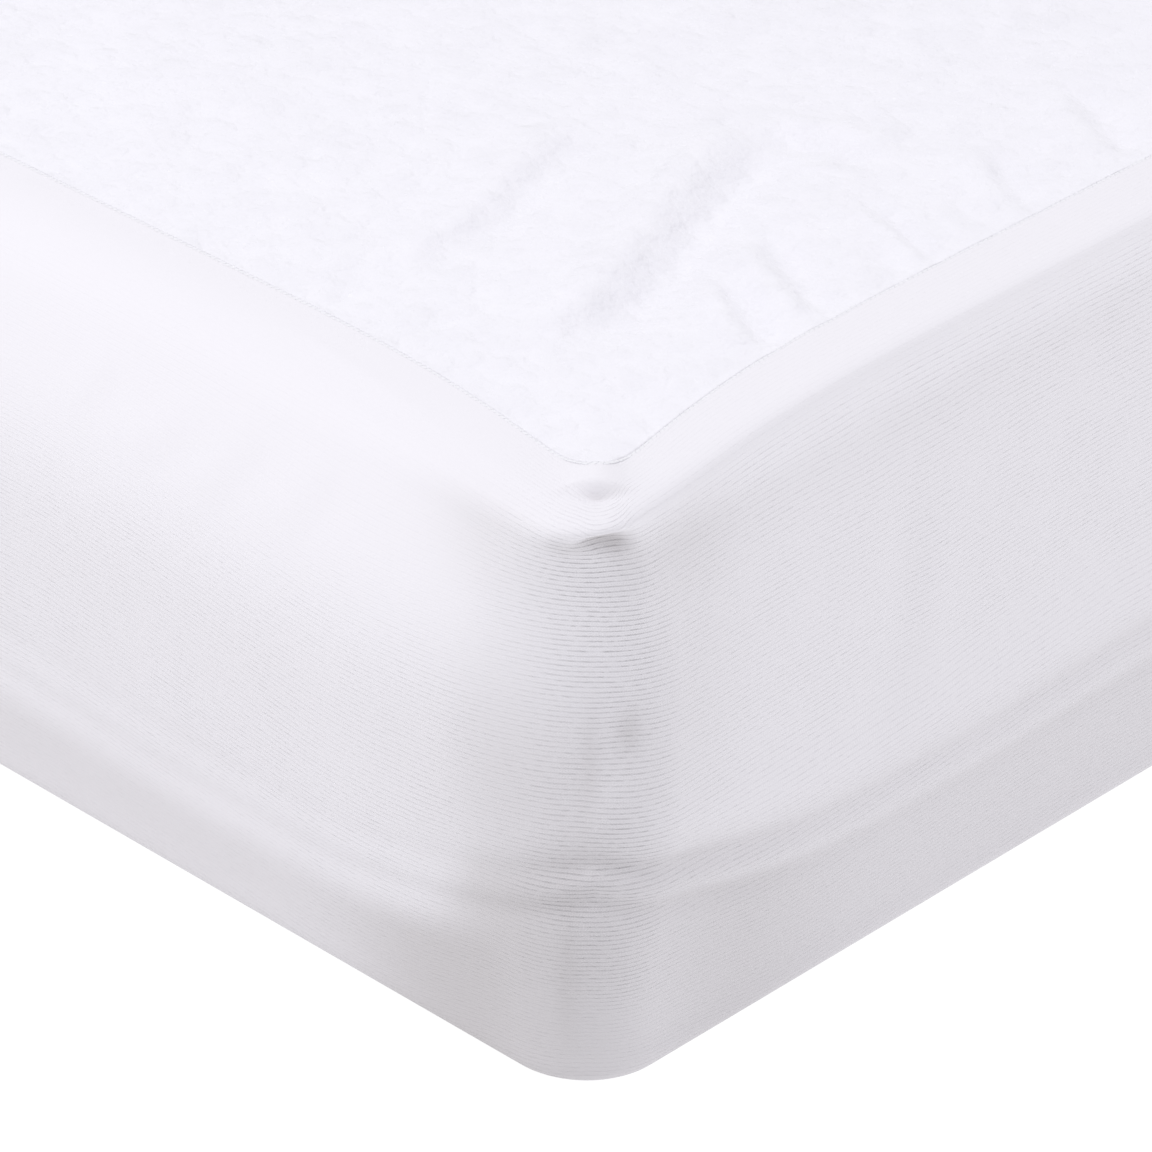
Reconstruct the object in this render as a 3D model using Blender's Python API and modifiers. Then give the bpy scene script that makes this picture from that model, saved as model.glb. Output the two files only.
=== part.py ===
"""A mattress wearing its fitted waterproof protector.

The protector has two cut pieces: a towelling panel that covers the top, and one knitted skirt that is sewn
to the panel, crosses the top edge, runs down the sides and turns under the mattress as a flat hem.
The mattress inside is plain. Metres, +Z up, with the origin at the middle of the base and the length along Y.
Tables below are in millimetres, measured inwards from the long side, inwards from the short side, and upwards.
"""
import math
from collections import namedtuple

import bmesh
import bpy

MM = 0.001

# Overall sizes
WIDTH = 900.0
LENGTH = 1900.0
TOP = 254.5
CORNER_DROOP = 6.0
DROOP_REACH = 90.0

# Cloth
PANEL_THICKNESS = 2.4
SKIRT_THICKNESS = 1.6
GAP = 0.7
SEAM_CORNER_GAP = 1.4
SEAM_CORNER_RADIUS = 8.0

# Corners: the stretch on each side of a corner where the outline turns, and how far its shape reaches
CORNER_ZONE = 90.0
CORNER_REACH = 95.0

# The plain mattress inside
MATTRESS_SIDE_INSET = 10.0
MATTRESS_TOP = 247.0
MATTRESS_CORNER_RADIUS = 64.0
MATTRESS_CORNER_SEGMENTS = 6
MATTRESS_EDGE_RADIUS = 24.0
MATTRESS_EDGE_SEGMENTS = 3

# The skirt's section from its seam with the panel down to the sides. The short sides have a soft rounded edge,
# and the long sides and the corners a crisp one. A corner turns on a quarter ellipse whose two radii run along
# the short and the long side. follow says how much of the top's droop at the corners the row takes up.
Row = namedtuple("Row", "name short_inset short_height long_inset long_height corner_short corner_long "
                        "corner_height radius_short radius_long follow")
UPPER_ROWS = (
    Row("seam", 45.0, 254.5, 44.0, 254.5, 31.6, 25.5, 254.5, SEAM_CORNER_RADIUS, SEAM_CORNER_RADIUS, 1.0),
    Row("band_inner", 34.0, 254.9, 36.0, 254.9, 25.0, 20.0, 254.9, 10.0, 10.0, 1.0),
    Row("band_middle", 22.0, 254.6, 26.0, 255.0, 18.5, 15.0, 255.0, 13.0, 13.0, 1.0),
    Row("band_outer", 13.0, 253.3, 16.6, 254.9, 11.0, 8.6, 254.8, 16.0, 16.0, 1.0),
    Row("edge_top", 8.0, 251.2, 12.9, 253.2, 6.2, 4.6, 253.4, 18.0, 18.0, 1.0),
    Row("edge_round", 4.0, 247.0, 11.0, 249.6, 2.8, 1.8, 250.6, 21.0, 21.0, 1.0),
    Row("edge_side", 1.5, 240.5, 9.2, 243.5, 1.4, 1.2, 245.5, 25.0, 24.0, 0.9),
    Row("shoulder", -1.0, 228.0, 6.0, 231.0, 2.4, 2.8, 231.0, 38.0, 32.0, 0.6),
    Row("side_high", -2.6, 209.0, 2.6, 210.0, 1.6, 2.0, 209.5, 50.0, 38.0, 0.2),
    Row("side_upper", -3.4, 184.0, 0.2, 184.0, 0.4, 0.8, 184.0, 60.0, 42.0, 0.0),
    Row("side_middle", -3.4, 156.0, -1.4, 156.0, -0.6, -0.5, 156.0, 64.0, 44.0, 0.0),
    Row("side_lower", -2.6, 130.0, -1.8, 130.0, -1.2, -1.0, 130.0, 62.0, 44.0, 0.0),
)
# Below, the rows follow the two creases that run around the skirt: height is taken from one of them.
LowerRow = namedtuple("LowerRow", "name crease height inset radius_short radius_long")
LOWER_ROWS = (
    LowerRow("roll_high", "high", 10.0, -1.6, 58.0, 42.0),
    LowerRow("crease_high", "high", -3.0, -1.2, 54.0, 41.0),
    LowerRow("roll_low", "low", 4.0, -0.8, 48.0, 39.0),
    LowerRow("crease_low", "low", -4.0, -0.2, 45.0, 38.0),
    LowerRow("below_crease", "low", -15.0, 0.3, 42.0, 37.0),
    LowerRow("base_side", "base", 14.0, 0.2, 38.0, 36.0),
    LowerRow("base_edge", "base", 2.0, 0.2, 36.0, 35.0),
    LowerRow("hem_flat", "base", 0.0, 2.4, 34.0, 33.0),
    LowerRow("hem_edge", "base", 0.0, 60.0, 12.0, 12.0),
)
HEM_WAVE = 3.0
HEM_WAVE_LENGTH = 210.0
# The skirt stands out from its plain section only below the flat band on top
BAND_DEPTH = 2.0

# Height of the two creases by distance from a corner
CreaseStep = namedtuple("CreaseStep", "distance high low")
CREASE_LINE = (
    CreaseStep(0.0, 113.0, 92.0),
    CreaseStep(30.0, 97.0, 77.0),
    CreaseStep(75.0, 82.0, 63.0),
    CreaseStep(125.0, 73.0, 54.0),
    CreaseStep(200.0, 70.0, 51.0),
    CreaseStep(330.0, 74.0, 54.0),
)

# Rolls and hollows along those creases: lift outwards at the height above the crease, on long and short sides
CreaseFold = namedtuple("CreaseFold", "name crease height half_width lift_long lift_short")
CREASE_FOLDS = (
    CreaseFold("upper_roll", "high", 10.0, 11.0, 2.6, 0.4),
    CreaseFold("upper_hollow", "high", -4.0, 7.0, -2.0, -0.6),
    CreaseFold("lower_roll", "low", 4.0, 6.0, 1.2, 0.9),
    CreaseFold("lower_hollow", "low", -4.0, 7.0, -1.4, -1.6),
)
CREASE_FADE_FROM = 8.0
CREASE_FADE_TO = 30.0
PLAIN_CORNER_SHARE = 0.6

# Creases of the top around the corner at +X, -Y. A route holds (inwards from the long side, inwards from the
# short side), and lift is upwards.
TopFold = namedtuple("TopFold", "name route half_width lift")
TOP_FOLDS = (
    TopFold("great_fold_bank", ((104, 60), (114, 115), (130, 170), (152, 215), (168, 280)), 14.0, 1.9),
    TopFold("great_fold_hollow", ((92, 60), (99, 115), (112, 172), (132, 222), (150, 285)), 11.0, -2.0),
    TopFold("long_fold_bank", ((192, 85), (203, 130), (216, 190), (224, 230)), 10.0, 1.0),
    TopFold("long_fold_hollow", ((181, 85), (190, 130), (203, 190), (212, 230)), 8.0, -1.0),
    TopFold("pucker_a_hollow", ((42, 140), (70, 150), (98, 166)), 7.0, -1.7),
    TopFold("pucker_a_bank", ((42, 155), (70, 165), (96, 180)), 8.0, 1.8),
    TopFold("pucker_b_hollow", ((46, 186), (75, 198), (106, 214)), 9.0, -1.8),
    TopFold("pucker_c_bank", ((45, 232), (66, 236), (88, 242)), 8.0, 1.6),
    TopFold("pucker_c_hollow", ((46, 245), (68, 250), (90, 260)), 7.0, -1.8),
    TopFold("pucker_d_bank", ((48, 288), (75, 298), (102, 310)), 9.0, 1.4),
    TopFold("pucker_d_hollow", ((50, 307), (78, 316), (108, 330)), 8.0, -1.7),
    TopFold("pucker_e_hollow", ((50, 356), (80, 370), (114, 386)), 9.0, -1.8),
)
# A fold grows over the first part of its route and fades over the last, down to a share of its lift
FOLD_GROWS_OVER = 0.2
FOLD_FADES_FROM = 0.75
FOLD_LEAST_SHARE = 0.35
ROUTE_SAMPLES = 6

# Small lifts and dips of the top and of the skirt near that same corner
TopBump = namedtuple("TopBump", "name in_long in_short radius lift")
TOP_BUMPS = (
    TopBump("seam_corner_bump", 30.0, 35.5, 9.0, 1.8),
    TopBump("band_dimple", 20.5, 27.0, 6.0, -2.6),
    TopBump("corner_lip", 12.0, 17.5, 12.0, 1.6),
)
# along is negative on the short side and positive on the long side; height is the section's own height
SideBump = namedtuple("SideBump", "name along height half_length half_height lift")
SIDE_BUMPS = (
    SideBump("lip_overhang", 14.0, 250.0, 24.0, 5.0, 2.2),
    SideBump("hollow_under_lip", 4.0, 237.0, 26.0, 8.0, -3.6),
    SideBump("corner_dip", 6.0, 165.0, 16.0, 22.0, -2.2),
    SideBump("swell_above_creases", 14.0, 134.0, 30.0, 16.0, 1.8),
    SideBump("upright_hollow", 176.0, 140.0, 12.0, 42.0, -1.2),
    SideBump("short_side_dip", -92.0, 128.0, 18.0, 20.0, -1.2),
)

# Where the meshes have their lines, as distances from the near corner, denser where the folds are
CORNER_STEPS = (0.0, 0.15, 0.28, 0.38, 0.45, 0.475, 0.5, 0.525, 0.55, 0.62, 0.72, 0.85, 1.0)
PLAIN_CORNER_STEPS = (0.0, 0.22, 0.38, 0.45, 0.5, 0.55, 0.62, 0.78, 1.0)
SHORT_SIDE_LINES = (120.0, 150.0, 190.0, 240.0, 330.0, 570.0, 750.0)
NEAR_LONG_SIDE_LINES = (120.0, 150.0, 180.0, 220.0, 270.0, 330.0, 480.0, 700.0, 950.0, 1250.0, 1570.0, 1750.0)
FAR_LONG_SIDE_LINES = (150.0, 330.0, 740.0, 1160.0, 1570.0, 1750.0)
PANEL_LINES_ACROSS = (50.0, 64.0, 77.0, 90.0, 101.0, 112.0, 123.0, 135.0, 150.0, 166.0, 182.0, 196.0, 210.0,
                      225.0, 255.0, 330.0, 540.0, 750.0, 780.0, 810.0, 840.0)
PANEL_LINES_ALONG = (60.0, 76.0, 90.0, 107.0, 122.0, 136.0, 150.0, 163.0, 176.0, 189.0, 201.0, 213.0, 226.0,
                     238.0, 250.0, 263.0, 278.0, 293.0, 308.0, 330.0, 350.0, 370.0, 400.0, 650.0, 1100.0,
                     1570.0, 1750.0, 1780.0, 1810.0, 1840.0)
PANEL_BEND_REACH = 200.0


def clear_scene():
    for old in list(bpy.data.objects):
        bpy.data.objects.remove(old, do_unlink=True)


def mix(a, b, share):
    return a + (b - a) * share


def smooth_step(value, low, high):
    share = min(max((value - low) / (high - low), 0.0), 1.0)
    return share * share * (3.0 - 2.0 * share)


def bell(distance, half_width):
    return math.exp(-(distance / half_width) ** 2)


def table_value(table, distance, column):
    """Read a column of a table at a distance, in straight steps between its rows."""
    for low, high in zip(table, table[1:]):
        if distance <= high.distance:
            share = (distance - low.distance) / (high.distance - low.distance)
            return mix(getattr(low, column), getattr(high, column), share)
    return getattr(table[-1], column)


def smooth_route(route):
    """Points of a smooth curve through a fold's route."""
    points = []
    last = len(route) - 1
    for k in range(last):
        before, start, end, after = route[max(k - 1, 0)], route[k], route[k + 1], route[min(k + 2, last)]
        for step in range(ROUTE_SAMPLES):
            t = step / ROUTE_SAMPLES
            points.append(tuple(
                0.5 * (2 * b + (c - a) * t + (2 * a - 5 * b + 4 * c - d) * t ** 2
                       + (3 * b - a - 3 * c + d) * t ** 3)
                for a, b, c, d in zip(before, start, end, after)))
    points.append(route[-1])
    return points


def distance_and_share(point, path):
    """Distance from a point to a path, and how far along the path the nearest place is, from 0 to 1."""
    best, best_share = 1.0e9, 0.0
    for k, (start, end) in enumerate(zip(path, path[1:])):
        run = (end[0] - start[0], end[1] - start[1])
        offset = (point[0] - start[0], point[1] - start[1])
        t = min(max((offset[0] * run[0] + offset[1] * run[1]) / (run[0] ** 2 + run[1] ** 2), 0.0), 1.0)
        gap = math.hypot(offset[0] - t * run[0], offset[1] - t * run[1])
        if gap < best:
            best, best_share = gap, (k + t) / (len(path) - 1)
    return best, best_share


TOP_ROUTES = {fold.name: smooth_route(fold.route) for fold in TOP_FOLDS}


def top_height(in_long, in_short):
    """Height of the top at a place measured inwards from the near corner's two sides."""
    to_long = min(in_long, WIDTH - in_long)
    to_short = min(in_short, LENGTH - in_short)
    height = TOP - CORNER_DROOP * bell(math.hypot(to_long, to_short), DROOP_REACH)
    for fold in TOP_FOLDS:
        gap, share = distance_and_share((in_long, in_short), TOP_ROUTES[fold.name])
        taper = smooth_step(share, 0.0, FOLD_GROWS_OVER) * (1.0 - smooth_step(share, FOLD_FADES_FROM, 1.0))
        height += fold.lift * bell(gap, fold.half_width) * mix(FOLD_LEAST_SHARE, 1.0, taper)
    for bump in TOP_BUMPS:
        height += bump.lift * bell(math.hypot(in_long - bump.in_long, in_short - bump.in_short), bump.radius)
    return height


def row_insets(row, distance):
    """How far a row lies in from the long and the short side, at a distance from the corner."""
    near = bell(distance, CORNER_REACH)
    return mix(row.long_inset, row.corner_long, near), mix(row.short_inset, row.corner_short, near)


# The seam's insets where it turns at a corner
SEAM_LONG, SEAM_SHORT = row_insets(UPPER_ROWS[0], UPPER_ROWS[0].corner_short + SEAM_CORNER_RADIUS)


def corner_place(along, in_long, in_short, radius_short, radius_long):
    """Place on the turned outline around a corner: straight, quarter ellipse, straight."""
    if along <= -CORNER_ZONE:
        return -along, in_short
    if along >= CORNER_ZONE:
        return in_long, along
    first = CORNER_ZONE - in_long - radius_short
    last = CORNER_ZONE - in_short - radius_long
    arc = 0.5 * math.pi * math.sqrt((radius_short ** 2 + radius_long ** 2) / 2.0)
    path = (along + CORNER_ZONE) / (2.0 * CORNER_ZONE) * (first + arc + last)
    if path < first:
        return CORNER_ZONE - path, in_short
    if path > first + arc:
        return in_long, in_short + radius_long + path - first - arc
    angle = 0.5 * math.pi * (path - first) / arc
    return in_long + radius_short * (1.0 - math.sin(angle)), in_short + radius_long * (1.0 - math.cos(angle))


def upper_place(row, along):
    """In-long, in-short, height and share of the top's droop for a row from the seam to the sides."""
    place = corner_place(along, *row_insets(row, abs(along)), row.radius_short, row.radius_long)
    place = corner_place(along, *row_insets(row, max(place)), row.radius_short, row.radius_long)
    side = smooth_step(along, -0.5 * CORNER_ZONE, 0.5 * CORNER_ZONE)
    height = mix(mix(row.short_height, row.long_height, side), row.corner_height, bell(along, CORNER_REACH))
    return place[0], place[1], height, row.follow


def lower_place(row, along):
    """The same for a row that follows a crease or the base."""
    if row.crease == "base":
        height = row.height
    else:
        height = row.height + table_value(CREASE_LINE, abs(along), row.crease)
    inset = row.inset
    if row.name == "hem_edge":
        inset += HEM_WAVE * math.sin(2.0 * math.pi * along / HEM_WAVE_LENGTH)
    place = corner_place(along, inset, inset, row.radius_short, row.radius_long)
    return place[0], place[1], height, 0.0


def side_lift(along, height, near_corner):
    """How far the skirt stands out from its plain section."""
    side = smooth_step(along, -0.5 * CORNER_ZONE, 0.5 * CORNER_ZONE)
    lift = 0.0
    for fold in CREASE_FOLDS:
        line = table_value(CREASE_LINE, abs(along), fold.crease) + fold.height
        lift += mix(fold.lift_short, fold.lift_long, side) * bell(height - line, fold.half_width)
    lift *= smooth_step(height, CREASE_FADE_FROM, CREASE_FADE_TO)
    if not near_corner:
        return lift * PLAIN_CORNER_SHARE
    for bump in SIDE_BUMPS:
        near = bell(along - bump.along, bump.half_length) * bell(height - bump.height, bump.half_height)
        lift += bump.lift * near
    return lift


def corner_alongs(steps):
    return [(2.0 * step - 1.0) * CORNER_ZONE for step in steps]


def skirt_stations():
    """Once around the skirt, as (side of X, side of Y, along), anticlockwise from the near corner."""
    stations = [(1, -1, along) for along in corner_alongs(CORNER_STEPS)]
    stations += side_stations(NEAR_LONG_SIDE_LINES, LENGTH, (1, -1), (1, 1), 1.0)
    stations += [(1, 1, along) for along in reversed(corner_alongs(PLAIN_CORNER_STEPS))]
    stations += side_stations(SHORT_SIDE_LINES, WIDTH, (1, 1), (-1, 1), -1.0)
    stations += [(-1, 1, along) for along in corner_alongs(PLAIN_CORNER_STEPS)]
    stations += side_stations(FAR_LONG_SIDE_LINES, LENGTH, (-1, 1), (-1, -1), 1.0)
    stations += [(-1, -1, along) for along in reversed(corner_alongs(PLAIN_CORNER_STEPS))]
    back = [WIDTH - line for line in reversed(SHORT_SIDE_LINES)]
    stations += side_stations(back, WIDTH, (-1, -1), (1, -1), -1.0)
    return stations


def side_stations(lines, length, start, end, sign):
    """Stations along one side, each measured from the nearer of its two corners."""
    stations = []
    for line in lines:
        corner, distance = (start, line) if line <= 0.5 * length else (end, length - line)
        stations.append((corner[0], corner[1], sign * distance))
    return stations


def world_place(side_x, side_y, in_long, in_short, height):
    return (side_x * (0.5 * WIDTH - in_long) * MM, side_y * (0.5 * LENGTH - in_short) * MM, height * MM)


def skirt_vertex(station, row):
    side_x, side_y, along = station
    near_corner = (side_x, side_y) == (1, -1)
    place_of = upper_place if isinstance(row, Row) else lower_place
    in_long, in_short, height, follow = place_of(row, along)
    lift = side_lift(along, height, near_corner)
    from_x = in_long if side_x > 0 else WIDTH - in_long
    from_y = in_short if side_y < 0 else LENGTH - in_short
    upright = height + follow * (top_height(from_x, from_y) - TOP)
    turn = smooth_step(along, -0.3 * CORNER_ZONE, 0.3 * CORNER_ZONE) * 0.5 * math.pi
    if height < TOP - BAND_DEPTH:
        in_long -= lift * math.sin(turn)
        in_short -= lift * math.cos(turn)
    return world_place(side_x, side_y, in_long, in_short, upright)


def new_material(name, colour, roughness):
    material = bpy.data.materials.new(name)
    material.use_nodes = True
    shader = material.node_tree.nodes["Principled BSDF"]
    shader.inputs["Base Color"].default_value = (*colour, 1.0)
    shader.inputs["Roughness"].default_value = roughness
    shader.inputs["Metallic"].default_value = 0.0
    return material


def finish_object(name, mesh_builder, collection, material):
    mesh = bpy.data.meshes.new(name)
    mesh_builder.to_mesh(mesh)
    mesh_builder.free()
    piece = bpy.data.objects.new(name, mesh)
    collection.objects.link(piece)
    mesh.materials.append(material)
    mesh.shade_smooth()
    return piece


def give_thickness(piece, thickness):
    solidify = piece.modifiers.new("cloth thickness", "SOLIDIFY")
    solidify.thickness = thickness * MM
    solidify.offset = -1.0
    solidify.use_even_offset = True


def grid_cells(builder, columns, rows):
    """A grid of vertices, each with its column and row."""
    bmesh.ops.create_grid(builder, x_segments=columns - 1, y_segments=rows - 1, size=1.0)
    for vertex in builder.verts:
        column = round((vertex.co.x + 1.0) * 0.5 * (columns - 1))
        row = round((vertex.co.y + 1.0) * 0.5 * (rows - 1))
        yield vertex, column, row


def make_skirt(collection):
    """A strip wrapped once around the mattress and joined to itself."""
    stations = skirt_stations()
    stations.append(stations[0])
    rows = UPPER_ROWS + LOWER_ROWS
    builder = bmesh.new()
    for vertex, column, row in grid_cells(builder, len(stations), len(rows)):
        vertex.co = skirt_vertex(stations[column], rows[-1 - row])
    bmesh.ops.remove_doubles(builder, verts=builder.verts, dist=0.1 * MM)
    knit = new_material("knitted skirt", (0.87, 0.87, 0.89), 0.85)
    skirt = finish_object("knit_skirt", builder, collection, knit)
    give_thickness(skirt, SKIRT_THICKNESS)
    return skirt


def panel_lines(inner_lines, seam, size):
    """Lines from seam to seam, as distances from the near side, with one where each round corner ends."""
    tangent = seam + SEAM_CORNER_RADIUS
    return [seam, tangent] + list(inner_lines) + [size - tangent, size - seam]


def panel_place(across, along, on_long_edge, on_short_edge):
    """Inward distances of a vertex of the panel, whose edge follows the seam with a small gap."""
    to_long, to_short = min(across, WIDTH - across), min(along, LENGTH - along)
    bend_long = row_insets(UPPER_ROWS[0], to_short)[0] - SEAM_LONG
    bend_short = row_insets(UPPER_ROWS[0], to_long)[1] - SEAM_SHORT
    if on_long_edge and on_short_edge:
        bend_long = bend_short = SEAM_CORNER_GAP + SEAM_CORNER_RADIUS * (1.0 - math.sqrt(0.5))
    elif on_long_edge:
        bend_long, bend_short = bend_long + GAP, 0.0
    elif on_short_edge:
        bend_long, bend_short = 0.0, bend_short + GAP
    else:
        bend_long *= max(0.0, 1.0 - to_long / PANEL_BEND_REACH)
        bend_short *= max(0.0, 1.0 - to_short / PANEL_BEND_REACH)
    in_long = across + (bend_long if across < 0.5 * WIDTH else -bend_long)
    in_short = along + (bend_short if along < 0.5 * LENGTH else -bend_short)
    return in_long, in_short


def make_panel(collection):
    """The towelling sheet, whose lines crowd where the creases are."""
    across = panel_lines(PANEL_LINES_ACROSS, SEAM_LONG, WIDTH)
    along = panel_lines(PANEL_LINES_ALONG, SEAM_SHORT, LENGTH)
    builder = bmesh.new()
    for vertex, column, row in grid_cells(builder, len(across), len(along)):
        on_long_edge = column in (0, len(across) - 1)
        on_short_edge = row in (0, len(along) - 1)
        in_long, in_short = panel_place(across[column], along[row], on_long_edge, on_short_edge)
        vertex.co = world_place(1, -1, in_long, in_short, top_height(in_long, in_short))
    bmesh.ops.reverse_faces(builder, faces=builder.faces)
    towelling = new_material("towelling panel", (0.90, 0.90, 0.91), 0.95)
    panel = finish_object("top_panel", builder, collection, towelling)
    give_thickness(panel, PANEL_THICKNESS)
    return panel


def make_mattress(collection):
    """A plain block with rounded corners and edges, resting on the hem."""
    bottom = SKIRT_THICKNESS + GAP
    margin = 2.0 * MATTRESS_SIDE_INSET
    size = (WIDTH - margin, LENGTH - margin, MATTRESS_TOP - bottom)
    ticking = new_material("mattress ticking", (0.80, 0.79, 0.77), 0.9)
    builder = bmesh.new()
    bmesh.ops.create_cube(builder, size=1.0)
    bmesh.ops.scale(builder, vec=[side * MM for side in size], verts=builder.verts)
    bmesh.ops.translate(builder, vec=(0.0, 0.0, (bottom + 0.5 * size[2]) * MM), verts=builder.verts)
    upright = [edge for edge in builder.edges if abs(edge.verts[0].co.z - edge.verts[1].co.z) > 0.1]
    bmesh.ops.bevel(builder, geom=upright, offset=MATTRESS_CORNER_RADIUS * MM,
                    segments=MATTRESS_CORNER_SEGMENTS, profile=0.5, affect="EDGES")
    level = [edge for edge in builder.edges if abs(edge.verts[0].co.z - edge.verts[1].co.z) < 0.001]
    bmesh.ops.bevel(builder, geom=level, offset=MATTRESS_EDGE_RADIUS * MM,
                    segments=MATTRESS_EDGE_SEGMENTS, profile=0.5, affect="EDGES")
    return finish_object("mattress", builder, collection, ticking)


def main():
    clear_scene()
    collection = bpy.data.collections.new("mattress_with_protector")
    bpy.context.scene.collection.children.link(collection)
    make_panel(collection)
    make_skirt(collection)
    make_mattress(collection)


main()
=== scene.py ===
# %% [markdown]
# # A mattress in its waterproof protector
#
# The protector is made from two cuts of white cloth. A towelling panel covers the top, and a
# stretchy knitted skirt is sewn all round it, crosses the top edge, runs down the sides and turns
# under the mattress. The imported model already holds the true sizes, so it is loaded first and every
# new piece is worked out from it. Both cloths are made in code as sheets, because each fold has its
# own place and depth, and the mattress inside is modelled with ordinary edit-mode tools.

import math
import random
from collections import namedtuple

import bpy
import numpy as np
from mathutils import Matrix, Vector, noise


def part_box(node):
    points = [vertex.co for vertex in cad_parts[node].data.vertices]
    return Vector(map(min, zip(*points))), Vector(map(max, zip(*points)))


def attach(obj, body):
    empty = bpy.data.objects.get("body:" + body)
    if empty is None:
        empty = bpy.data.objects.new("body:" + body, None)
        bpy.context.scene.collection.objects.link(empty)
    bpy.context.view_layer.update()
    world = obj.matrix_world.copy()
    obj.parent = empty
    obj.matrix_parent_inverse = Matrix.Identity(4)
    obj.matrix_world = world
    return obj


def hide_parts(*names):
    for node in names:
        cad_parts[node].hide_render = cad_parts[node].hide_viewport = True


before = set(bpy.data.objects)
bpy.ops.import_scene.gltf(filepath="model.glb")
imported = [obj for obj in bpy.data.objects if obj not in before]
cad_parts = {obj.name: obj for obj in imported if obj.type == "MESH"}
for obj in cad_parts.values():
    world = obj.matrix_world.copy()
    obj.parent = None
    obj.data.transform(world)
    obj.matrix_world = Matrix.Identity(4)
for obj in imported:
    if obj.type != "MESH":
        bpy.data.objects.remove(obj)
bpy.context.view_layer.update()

# %% [markdown]
# ## Sizes
#
# The tables in this lesson are in millimetres, measured inwards from the outline of the bed:
# in_long is the distance in from a long side, in_short the distance in from a short side. On the
# skirt, along is the distance round the outline from the nearest corner, above 0 on a long side and
# below 0 on a short one. The cloth stands a little outside the mattress, so the outline and the
# height of the top are taken from the mattress node. The main folds are all at the corner at +X and
# -Y, which is called the near corner.

# %% Driving sizes, taken from the mattress node
MM = 0.001
SIDE_CLEARANCE = 10.0
TOP_CLEARANCE = 7.5

mattress_low, mattress_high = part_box("mattress")
HALF_WIDTH = mattress_high.x / MM + SIDE_CLEARANCE
HALF_LENGTH = mattress_high.y / MM + SIDE_CLEARANCE
WIDTH = 2.0 * HALF_WIDTH
LENGTH = 2.0 * HALF_LENGTH
TOP = mattress_high.z / MM + TOP_CLEARANCE
print("outline:", round(WIDTH, 1), "by", round(LENGTH, 1), "mm, top at", round(TOP, 1), "mm")


# %% Small helpers for blending and for smooth curves
def mix(a, b, share):
    return a + (b - a) * share


def smooth_step(value, low, high):
    """From 0 below low to 1 above high, with soft ends."""
    share = np.clip((value - low) / (high - low), 0.0, 1.0)
    return share * share * (3.0 - 2.0 * share)


def fade_out(value, low, high):
    """From 1 below low to 0 above high, with soft ends."""
    return 1.0 - smooth_step(value, low, high)


def bell(distance, half_width):
    """1 at no distance, falling softly to about a third at the half width."""
    return np.exp(-(distance / half_width) ** 2)


def smooth_through(stops, values, at):
    """Read a smooth curve that passes through the values at the stops."""
    stops = np.asarray(stops, dtype=float)
    values = np.asarray(values, dtype=float)
    slopes = np.gradient(values, stops, axis=0)
    at = np.clip(at, stops[0], stops[-1])
    k = np.clip(np.searchsorted(stops, at, side="right") - 1, 0, len(stops) - 2)
    width = stops[k + 1] - stops[k]
    t = (at - stops[k]) / width
    if values.ndim > 1:
        width = width.reshape(-1, *([1] * (values.ndim - 1)))
        t = t.reshape(width.shape)
    start = (1.0 + 2.0 * t) * (1.0 - t) ** 2 * values[k] + t * (1.0 - t) ** 2 * width * slopes[k]
    end = t * t * (3.0 - 2.0 * t) * values[k + 1] + t * t * (t - 1.0) * width * slopes[k + 1]
    return start + end


def world_place(side_x, side_y, in_long, in_short, height):
    """Metres in the shared frame, from millimetres inwards of one corner."""
    return side_x * (HALF_WIDTH - in_long) * MM, side_y * (HALF_LENGTH - in_short) * MM, height * MM


# %% [markdown]
# ## Camera
#
# The camera stands well back with a long lens, looks down at about thirty degrees and is turned to
# the near corner, so that the two sides run off at equal slants. It is placed by the point it looks
# at, a distance and two angles, because these are the values a photographer would set on a tripod.

# %% Camera at the near corner
CAMERA_DISTANCE = 2.4
CAMERA_AZIMUTH = math.radians(44.58)
CAMERA_ELEVATION = math.radians(31.14)
SENSOR_WIDTH = 36.0
LENS = 203.4
AIM_HEIGHT = 125.0
AIM_SIDEWAYS = -0.0042
AIM_RAISED = 0.0941


def camera_axes(azimuth, elevation):
    """Unit vectors to the right of the view, back towards the camera and up the view."""
    right = Vector((math.cos(azimuth), math.sin(azimuth), 0.0))
    level = math.cos(elevation)
    back = Vector((math.sin(azimuth) * level, -math.cos(azimuth) * level, math.sin(elevation)))
    return right, back, back.cross(right)


def add_object(name, data):
    """An object in the scene that holds a camera, a lamp or a mesh."""
    made = bpy.data.objects.new(name, data)
    bpy.context.scene.collection.objects.link(made)
    return made


view_right, view_back, view_up = camera_axes(CAMERA_AZIMUTH, CAMERA_ELEVATION)
corner_edge = Vector((HALF_WIDTH * MM, -HALF_LENGTH * MM, AIM_HEIGHT * MM))
aim = corner_edge + view_right * AIM_SIDEWAYS + view_up * AIM_RAISED
camera_data = bpy.data.cameras.new("studio camera")
camera_data.sensor_width = SENSOR_WIDTH
camera_data.lens = LENS
camera = add_object("studio camera", camera_data)
camera.location = aim + view_back * CAMERA_DISTANCE
camera.rotation_euler = (-view_back).to_track_quat("-Z", "Y").to_euler()
bpy.context.scene.camera = camera
print("camera at", [round(value, 3) for value in camera.location])

# %% [markdown]
# ## Light and floor
#
# White cloth on a white floor needs light from all round, or its shadows turn grey and heavy. A
# bright even surround gives the base. A large soft lamp high on the left models the folds, because
# it rakes across the top, and a weaker one on the right keeps the long side clean. The floor gives
# off its own light, as a lit studio table does, so it reads as plain white. Its colour is grey, so
# that it throws little light back and the lower sides stay a shade darker than the top.

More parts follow.
